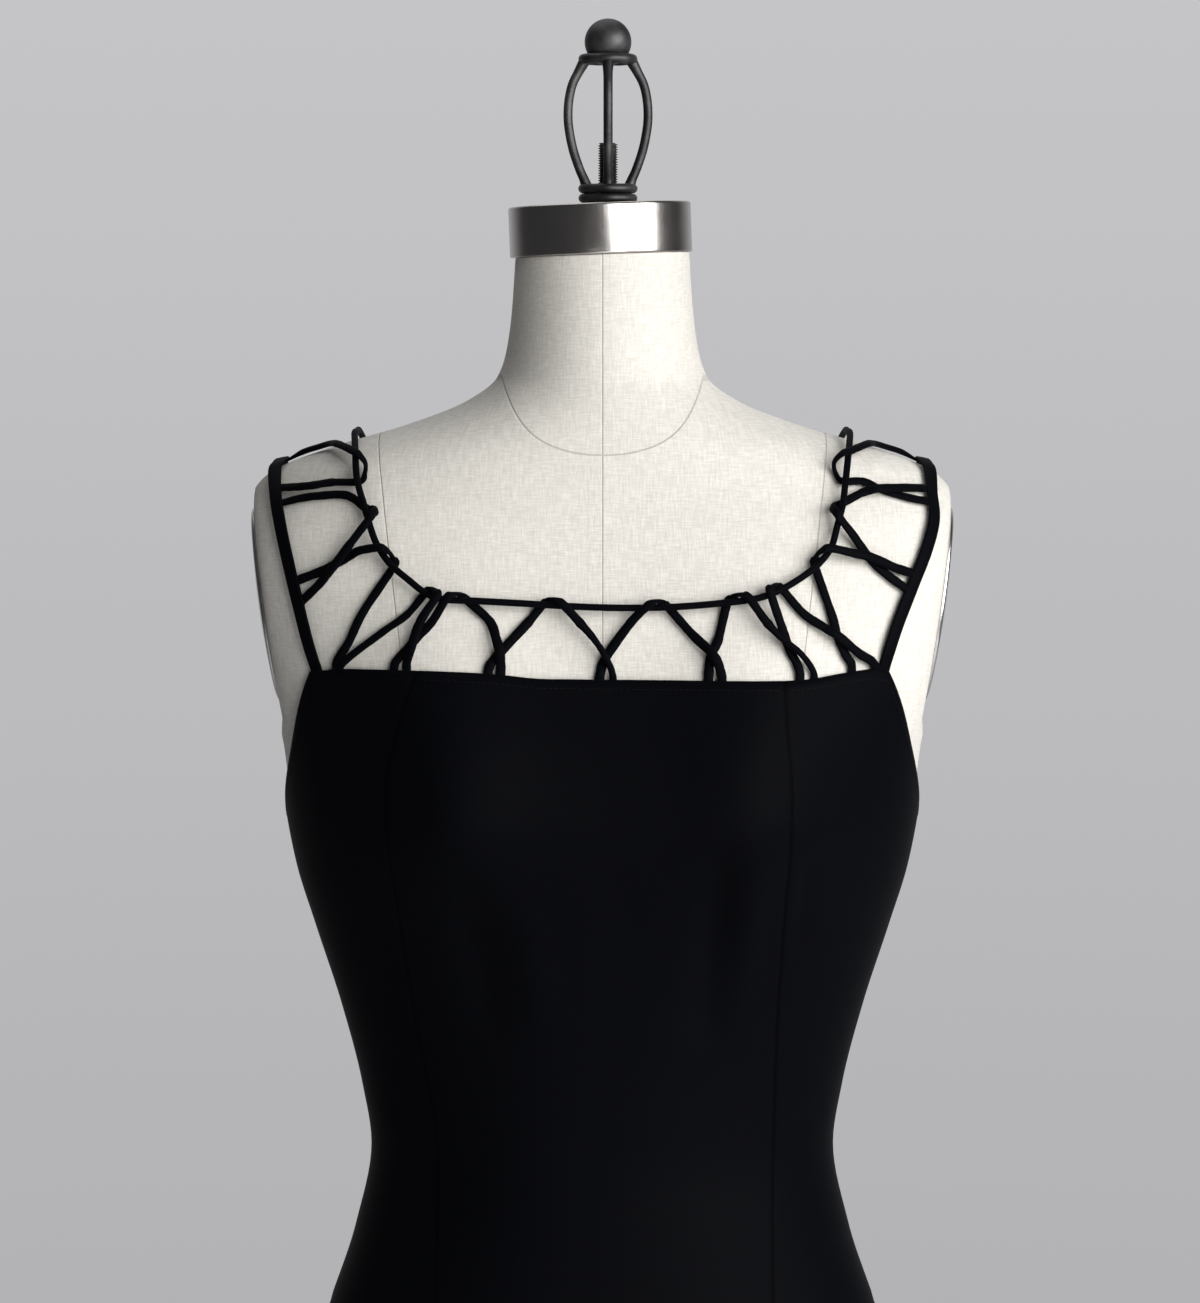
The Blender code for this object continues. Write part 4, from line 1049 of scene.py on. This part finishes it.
pull_top = cloth_point(math.pi / 2, edge_height(0) - 0.012) + Vector((0, 0.0016, 0))
pull_line = [pull_top + Vector((0, 0.0002 * math.sin(k / 3), 0.0058 - 0.00058 * k)) for k in range(21)]
pull_sections = []
for k in range(21):
    half_width = 0.0006 + 0.0015 * math.sin(math.pi * (k / 20) ** 1.6) ** 0.8
    pull_sections.append(oval(half_width, 0.0004 + 0.0004 * math.sin(math.pi * k / 20)))
pull_mesh = swept_mesh("zip_drop_pull", pull_line, [Vector((0, 1, 0))] * 21, pull_sections)
add_piece("zip_drop_pull", pull_mesh, zip_finish, ["zip_pull"])

# ---- The dress: straps ----
# A flat strap of doubled crepe on each side goes from the bodice's corner over the shoulder to the
# back corner. Its edges are pressed and edge-stitched.

STRAP_WIDTH, STRAP_THICKNESS, STRAP_EASE = 0.0074, 0.0020, 0.0004
STRAP_RIGHT = (
    (-147.5, 1294.6), (-151.5, 1307.5), (-156, 1324.5), (-161.5, 1346), (-166.5, 1366), (-170, 1381.5),
)
STRAP_LEFT = (
    (145, 1294.8), (147.8, 1304.5), (152, 1317), (160, 1336.5), (168, 1355.5), (172.5, 1371), (172, 1384),
)
STRAP_TOP = ((170, -22), (169, -12), (168.5, -3), (168.5, 6), (169, 15), (170, 24))


def form_y(x, z, side):
    half_width, front, back, centre, roundness = smooth(BODY, z)
    depth = back if side > 0 else front + bust(x, z)
    across = min(abs(x) / half_width, 1.0)
    return centre + side * depth * (1 - across**roundness) ** (1 / roundness)


def form_normal(x, z, side):
    step = 0.0005
    slope_x = (form_y(x + step, z, side) - form_y(x - step, z, side)) / (2 * step)
    slope_z = (form_y(x, z + step, side) - form_y(x, z - step, side)) / (2 * step)
    return Vector((-side * slope_x, side, -side * slope_z)).normalized()


def off_form(x, z, lift, side):
    """The point seen at x and height z that stands `lift` from the form, and the way out there."""
    foot_x, foot_z = x, z
    for _ in range(8):
        away = form_normal(foot_x, foot_z, side)
        foot_x, foot_z = x - lift * away.x, z - lift * away.z
    away = form_normal(foot_x, foot_z, side)
    return Vector((foot_x, form_y(foot_x, foot_z, side), foot_z)) + lift * away, away


def over_shoulder(x, y, lift):
    side = 1 if y > 0 else -1
    low, high = 1.30, 1.45
    for _ in range(30):
        middle = (low + high) / 2
        inside = abs(x) < smooth(BODY, middle)[0] and abs(form_y(x, middle, side)) > abs(y)
        low, high = (middle, high) if inside else (low, middle)
    away = form_normal(x, low - 0.0005, side)
    return Vector((x, y, low)) + lift * away, away


# One face of the strap: a share of its half width and of its half thickness. The dip on each side
# is its row of stitches.
STRAP_FACE = (
    (-0.94, 0.55), (-0.82, 0.92), (-0.64, 0.96), (-0.58, 0.78), (-0.50, 0.94), (-0.25, 1.0), (0.0, 1.02),
    (0.25, 1.0), (0.50, 0.94), (0.58, 0.78), (0.64, 0.96), (0.82, 0.92), (0.94, 0.55),
)
half, thin = STRAP_WIDTH / 2, STRAP_THICKNESS * 0.85 / 2
upper_face = [(x * half, h * thin) for x, h in STRAP_FACE]
strap_section = [(-half, 0.0), *upper_face, (half, 0.0), *[(x, -h) for x, h in reversed(upper_face)]]
for side, sign, route in (("left", 1, STRAP_LEFT), ("right", -1, STRAP_RIGHT)):
    lift = EASE + STRAP_THICKNESS / 2 + STRAP_EASE
    (x0, z0), (x1, z1) = route[:2]
    sewn = [(x0 - (x1 - x0) * 0.7, z0 - (z1 - z0) * 0.7, 0.95 * MM), (x0, z0, 1.1 * MM)]
    path = sewn + [(x, z, lift) for x, z in route[1:]]
    pairs = [off_form(x * MM, z * MM, rise, -1) for x, z, rise in path]
    pairs += [over_shoulder(sign * x * MM, y * MM, lift) for x, y in STRAP_TOP]
    pairs += [off_form(x * MM, z * MM, rise, 1) for x, z, rise in reversed(path)]
    for k in range(len(path), len(path) + len(STRAP_TOP)):
        pairs[k] = (pairs[k][0], Vector((sign * 0.2, 0, 1)).normalized())
    line = spline_points([spot for spot, _ in pairs], 8)
    outs = [out.normalized() for out in spline_points([out for _, out in pairs], 8)]
    mesh = swept_mesh(f"crepe_strap_{side}", line, outs, [strap_section] * len(line), crease=70)
    add_piece(f"crepe_strap_{side}", mesh, crepe, [f"shoulder_strap_{side}"])

# ---- The dress: neckline cord and laces ----
# A crepe-covered cord goes round the neck. Soft bias rouleaux, sewn into the bodice's edge and the
# straps, loop round it in pairs and cross each other to make the open lattice.

CORD_LIFT, HOOK_RADIUS, HOOK_STEPS = 6.6, 0.0031, 4
CORD_ROUTE = (
    (-128, 1404), (-126.5, 1391), (-122.5, 1378.5), (-118.5, 1366), (-115, 1358), (-108.5, 1349),
    (-99.5, 1341.5), (-90, 1334.5), (-81, 1331.5), (-66, 1330.8), (-41, 1329.5), (-16, 1328),
    (10, 1327.2), (36, 1327.7), (59.5, 1329.5), (79, 1332), (92.5, 1337), (105, 1344.5),
    (112.5, 1351), (117.5, 1358), (120.5, 1368), (123.5, 1378.5), (125.5, 1391), (127.5, 1404),
)
CORD_RIDGE = ((128.5, -22, 5), (129, 0, 4), (128.5, 24, 5))
RIDGE_LIMIT = 1.405
# The laces: feet and bends as x, height, distance from the form in mm, and between them the hook round
# the cord as x, height, length along the cord, "over" where the first leg passes in front of the cord
LACES = {
    "left_1": (
        ((-1, 1294, 2.5), (2, 1302.5, 2.5), (14.5, 1320, 6.5)), (28.5, 1328, 11, "over"),
        ((45.5, 1314, 2.8), (56.5, 1303.5, 6.4), (60.2, 1294.5, 3))),
    "left_2": (
        ((54, 1294, 2.5), (55, 1302.5, 2.5), (59, 1311.5, 2.5)), (69, 1330.5, 11, "under"),
        ((84, 1319.5, 8), (92, 1311.5, 7), (101, 1304, 6.4), (107.3, 1295, 3))),
    "left_3": (
        ((100.5, 1294, 2.5), (99, 1299, 2.5), (95, 1306.5, 2.5), (91.5, 1317, 4.5)), (89, 1335, 8, "over"),
        ((102.5, 1324, 2.5), (113, 1317, 4.2), (120.5, 1312.5, 6.4), (131, 1303.5, 4.8),
         (138.5, 1298.5, 3))),
    "left_4": (
        ((127.5, 1297.5, 2.5), (124.5, 1302.5, 2.5), (120.5, 1311.5, 2.5), (117, 1324, 2.5)),
        (113, 1352, 11, "under"),
        ((129.5, 1354, 7.5), (138, 1352, 6.4), (150, 1346.5, 4.5), (158.5, 1343.5, 3))),
    "left_5": (
        ((155.5, 1336, 3), (146, 1343, 2.5), (137.5, 1351, 2.5), (128.5, 1363.5, 5.5)),
        (122, 1376, 12, "over"),
        ((134.5, 1384.5, 4), (143.5, 1386.5, 6.8), (157, 1386.5, 5), (167, 1386, 3))),
    "left_6": (
        ((168.5, 1379.5, 3), (158.5, 1381.5, 2.5), (144, 1386, 2.5), (135, 1390, 2.5)),
        (126.6, 1398.5, 16, "under"),
        ()),
    "right_1": (
        ((-57.4, 1297.5, 2.5), (-53, 1303.5, 2.5), (-37.5, 1320, 2.5)), (-25.5, 1328.5, 11, "under"),
        ((-11.5, 1320, 8.5), (-4.5, 1312, 7.2), (1.5, 1303, 6.8), (5, 1294.5, 3.4))),
    "right_2": (
        ((-105.5, 1299, 2.5), (-100, 1305.5, 2.5), (-93, 1313.5, 2.5), (-86.5, 1320.5, 4.5)),
        (-73.5, 1331, 11, "over"),
        ((-57.5, 1320.5, 2.5), (-54, 1312, 5), (-52, 1304.5, 6.4), (-51.6, 1298, 3))),
    "right_3": (
        ((-131.5, 1299.5, 2.9), (-112, 1314.5, 2.6), (-99.5, 1323.5, 2.5)), (-87.5, 1333.7, 8, "under"),
        ((-91.5, 1322.5, 8.5), (-95, 1314.5, 6.6), (-97.5, 1306, 5.8), (-99.5, 1299.5, 3))),
    "right_4": (
        ((-136, 1299, 2.5), (-130, 1308.5, 2.5), (-122.5, 1324, 2.5)), (-111, 1352, -11, "under"),
        ((-124.5, 1355.5, 7), (-130.5, 1352, 3.2), (-137.5, 1348, 2.5), (-144.5, 1344.5, 2.5),
         (-154.5, 1340.5, 3))),
    "right_5": (
        ((-152, 1331.5, 3), (-144.5, 1339, 4.5), (-137, 1348.5, 6.8), (-129.5, 1358.5, 8.4)),
        (-120, 1374.5, -11, "over"),
        ((-132, 1383, 2.5), (-147, 1382.5, 2.5), (-157, 1381, 2.5), (-163, 1379.5, 3))),
    "right_6": (
        ((-163.5, 1386.5, 3), (-157.5, 1387, 5), (-149.5, 1388, 6), (-140, 1389.5, 4.2)),
        (-126.9, 1398.5, -16, "under"),
        ()),
}
# The last lace's upper leg lies along the top of the shoulder: |x|, y, distance from the form in mm
SHOULDER_LEG = ((135, -36, 6.8), (141, -20, 3.8), (149, -9, 2.8), (158, 0, 2.6))
SHOULDER_END = (167, 3, 1.3)  # where that leg is sewn under the strap
# Legs that are twisted thin: lace, which leg, width there as a share
TWISTED = {("right_1", 1): 0.66, ("left_2", 1): 0.66, ("right_3", 0): 0.8}
LACE_WIDTH, LACE_HEIGHT, LACE_STEPS = 0.0025, 0.00125, 8


def cord_pairs(side):
    return [off_form(x * MM, z * MM, CORD_LIFT * MM, side) for x, z in CORD_ROUTE]


def ridge_pairs(sign):
    return [over_shoulder(sign * x * MM, y * MM, lift * MM) for x, y, lift in CORD_RIDGE]


round_neck = [*cord_pairs(-1), *ridge_pairs(1), *reversed(cord_pairs(1)), *reversed(ridge_pairs(-1))]
cord = [spot for spot, _ in round_neck]
looped = [round_neck[-1], *round_neck, round_neck[0], round_neck[1]]
cord_line = spline_points([spot for spot, _ in looped], 10)[10:-20]
cord_outs = [out.normalized() for out in spline_points([out for _, out in looped], 10)[10:-20]]
cord_sections = [oval(0.00178, 0.00172, 16)] * len(cord_line)
cord_mesh = swept_mesh("crepe_neckline_cord", cord_line, cord_outs, cord_sections, True)
cord_piece = add_piece("crepe_neckline_cord", cord_mesh, crepe, ["neckline_cord"])


def cord_spot(distance):
    k = 0
    while distance > (cord[k + 1] - cord[k]).length:
        distance -= (cord[k + 1] - cord[k]).length
        k += 1
    along = (cord[k + 1] - cord[k]).normalized()
    return cord[k] + along * distance, along


def nearest_on_cord(target):
    best, walked = (math.inf, 0.0), 0.0
    for here, after in zip(cord, cord[1:]):
        reach = (after - here).length
        portion = min(max((target - here).dot(after - here) / reach, 0.0), reach)
        away = (target - here - (after - here) * portion / reach).length
        best = min(best, (away, walked + portion))
        walked += reach
    return best[1]


# How far a hook stands off the cord in its middle, where it is slack
LOOSE = {"left_4": 0.0006, "left_5": 0.0019, "left_6": 0.0040, "right_5": 0.0022, "right_6": 0.0020}


def hook_pairs(key, x, z, length, order, side):
    """Points of a half turn round the cord, each with the way away from the cord."""
    middle = nearest_on_cord(off_form(x * MM, z * MM, CORD_LIFT * MM, side)[0])
    length *= -side * MM
    pairs = []
    for step in range(HOOK_STEPS + 1):
        centre, along = cord_spot(middle + length * (step / HOOK_STEPS - 0.5))
        out = form_normal(centre.x, min(centre.z, RIDGE_LIMIT), side)
        inward = out.cross(along).normalized()
        out = along.cross(inward).normalized()
        turn = math.pi * (step / HOOK_STEPS if order == "over" else 1 - step / HOOK_STEPS)
        away = out * math.cos(turn) + inward * math.sin(turn)
        slack = LOOSE.get(key, 0) * math.sin(math.pi * step / HOOK_STEPS)
        pairs.append((centre + (HOOK_RADIUS + slack) * away, away))
    return pairs


# In mm: the highest foot on the bodice's edge, how far a leg is tucked under the edge or the strap, how
# far it leans there at the most, and how close to the form it lies
HIGHEST_FOOT, EDGE_TUCK, STRAP_TUCK, MOST_LEAN, TUCK_LIFT = 1310, 6.5, 5.5, 4, 1.15


def sewn_end(leg, side):
    """Where a leg goes on, under the bodice's edge or the strap it is sewn to, flattened there."""
    (x0, z0, _), (x1, z1, _) = leg[:2]
    if z0 < HIGHEST_FOOT:
        lean = (x0 - x1) * (0.6 if abs(x1 - x0) > abs(z1 - z0) else 0.1)
        x, z = x0 + max(min(lean, MOST_LEAN), -MOST_LEAN), z0 - EDGE_TUCK
    else:
        reach = math.hypot(x1 - x0, z1 - z0)
        x, z = x0 - (x1 - x0) / reach * STRAP_TUCK, z0 - (z1 - z0) / reach * STRAP_TUCK
    return off_form(x * MM, z * MM, TUCK_LIFT * MM, side)


def lace_mesh(name, key, route, side):
    first_leg, (x, z, length, order), second_leg = route
    pairs = [sewn_end(first_leg, side)]
    pairs += [off_form(px * MM, pz * MM, lift * MM, side) for px, pz, lift in first_leg]
    hook_start = len(pairs)
    pairs += hook_pairs(key, x, z, length, order, side)
    hook_end = len(pairs)
    if second_leg:
        pairs += [off_form(px * MM, pz * MM, lift * MM, side) for px, pz, lift in second_leg]
        pairs.append(sewn_end(second_leg[::-1], side))
    else:
        sign = math.copysign(1, x)
        leg = (*SHOULDER_LEG, SHOULDER_END)
        pairs += [over_shoulder(sign * px * MM, py * MM, lift * MM) for px, py, lift in leg]
    line = spline_points([spot for spot, _ in pairs], LACE_STEPS)
    outs, last = [], pairs[0][1]
    for _, out in pairs:
        last = out if out.dot(last) >= 0 else -out
        outs.append(last)
    outs = [out.normalized() for out in spline_points(outs, LACE_STEPS)]
    sections = []
    for k in range(len(line)):
        knot = k / LACE_STEPS
        leg = 0 if knot < hook_start else 1
        portion = knot / hook_start if leg == 0 else (knot - hook_end) / max(len(pairs) - 1 - hook_end, 1)
        pinch = 1.0
        if (key, leg) in TWISTED and 0 < portion < 1:
            pinch = 1 - (1 - TWISTED[(key, leg)]) * math.sin(math.pi * portion) ** 0.7
        sewn = min(knot, len(pairs) - 1 - knot)
        flat = 0.42 + 0.58 * min(max(sewn - 0.15, 0.0) / 0.85, 1.0)
        ripple = 1 + 0.03 * math.sin(k * 0.9 + x) + 0.02 * math.sin(k * 2.3 + z)
        on_hook = hook_start - 1 < knot < hook_end
        on_ridge = not second_leg and knot > hook_end
        snug = 0.92 if on_hook else 1.0
        height = LACE_HEIGHT * flat * (1 + (1 - pinch) * 0.5) * snug * (1.25 if on_ridge else 1)
        sections.append(oval(LACE_WIDTH * pinch * ripple * snug, height))
    return swept_mesh(name, line, outs, sections)


for key, route in LACES.items():
    for part, side in (("front", -1), ("back", 1)):
        if side > 0 and not route[2]:
            continue
        name = f"crepe_{part}_lace_{key}"
        mesh = lace_mesh(name, key, route, side)
        add_piece(name, mesh, crepe, [f"{part}_lace_{key}"])

# ---- The dress: topstitching ----
# One row of lockstitches in black thread holds the facing, a few millimetres below the bodice's
# edge and round the armholes.

thread = Finish("black_thread", {"Specular IOR Level": 0.12})
place = thread.place()
ply = thread.noise(place, 2600, 2)
thread.feed("Base Color", thread.blend(ply, (0.0006, 0.0006, 0.0008, 1), (0.0030, 0.0030, 0.0036, 1)))
thread.feed("Roughness", 0.38 + 0.2 * ply)
thread.bump(ply, 0.3, 0.0001)
STITCH_DOWN = 0.0046


def edge_place(around, top):
    z = top - STITCH_DOWN
    outer = cloth_point(around, z)
    away = cloth_inward(around, z)
    return outer + away * (crease_depth(outer) + 0.6 * edge_sink(STITCH_DOWN) - 0.00008)


stitch_lines = []
for _, start, end, shape, _ in panel_list:
    first, last = seam(*start, seam_top(*start)), seam(*end, seam_top(*end))
    marks = [(first + (last - first) * portion, top) for portion, top in shape if 0.02 < portion < 0.98]
    stitch_lines.append([edge_place(around, top) for around, top in marks])
half_sizes = ("Stitch reach", "Thread radius", "Thread radius")
stitch_tree = bead_row("edge_stitch_row", "Stitch length", half_sizes)
stitch_mesh = grown("edge_stitches", strung("edge_stitch_line", stitch_lines), stitch_tree, {
    "Stitch length": 0.0030, "Stitch reach": 0.00115, "Thread radius": 0.00016, "Finish": thread.material,
})
stitches = add_piece("edge_stitches", stitch_mesh, thread)

for node, piece in cloth_pieces.items():
    size, area = next(FLAT[kind] for kind in FLAT if node.startswith(kind))
    node == "front_centre_panel"
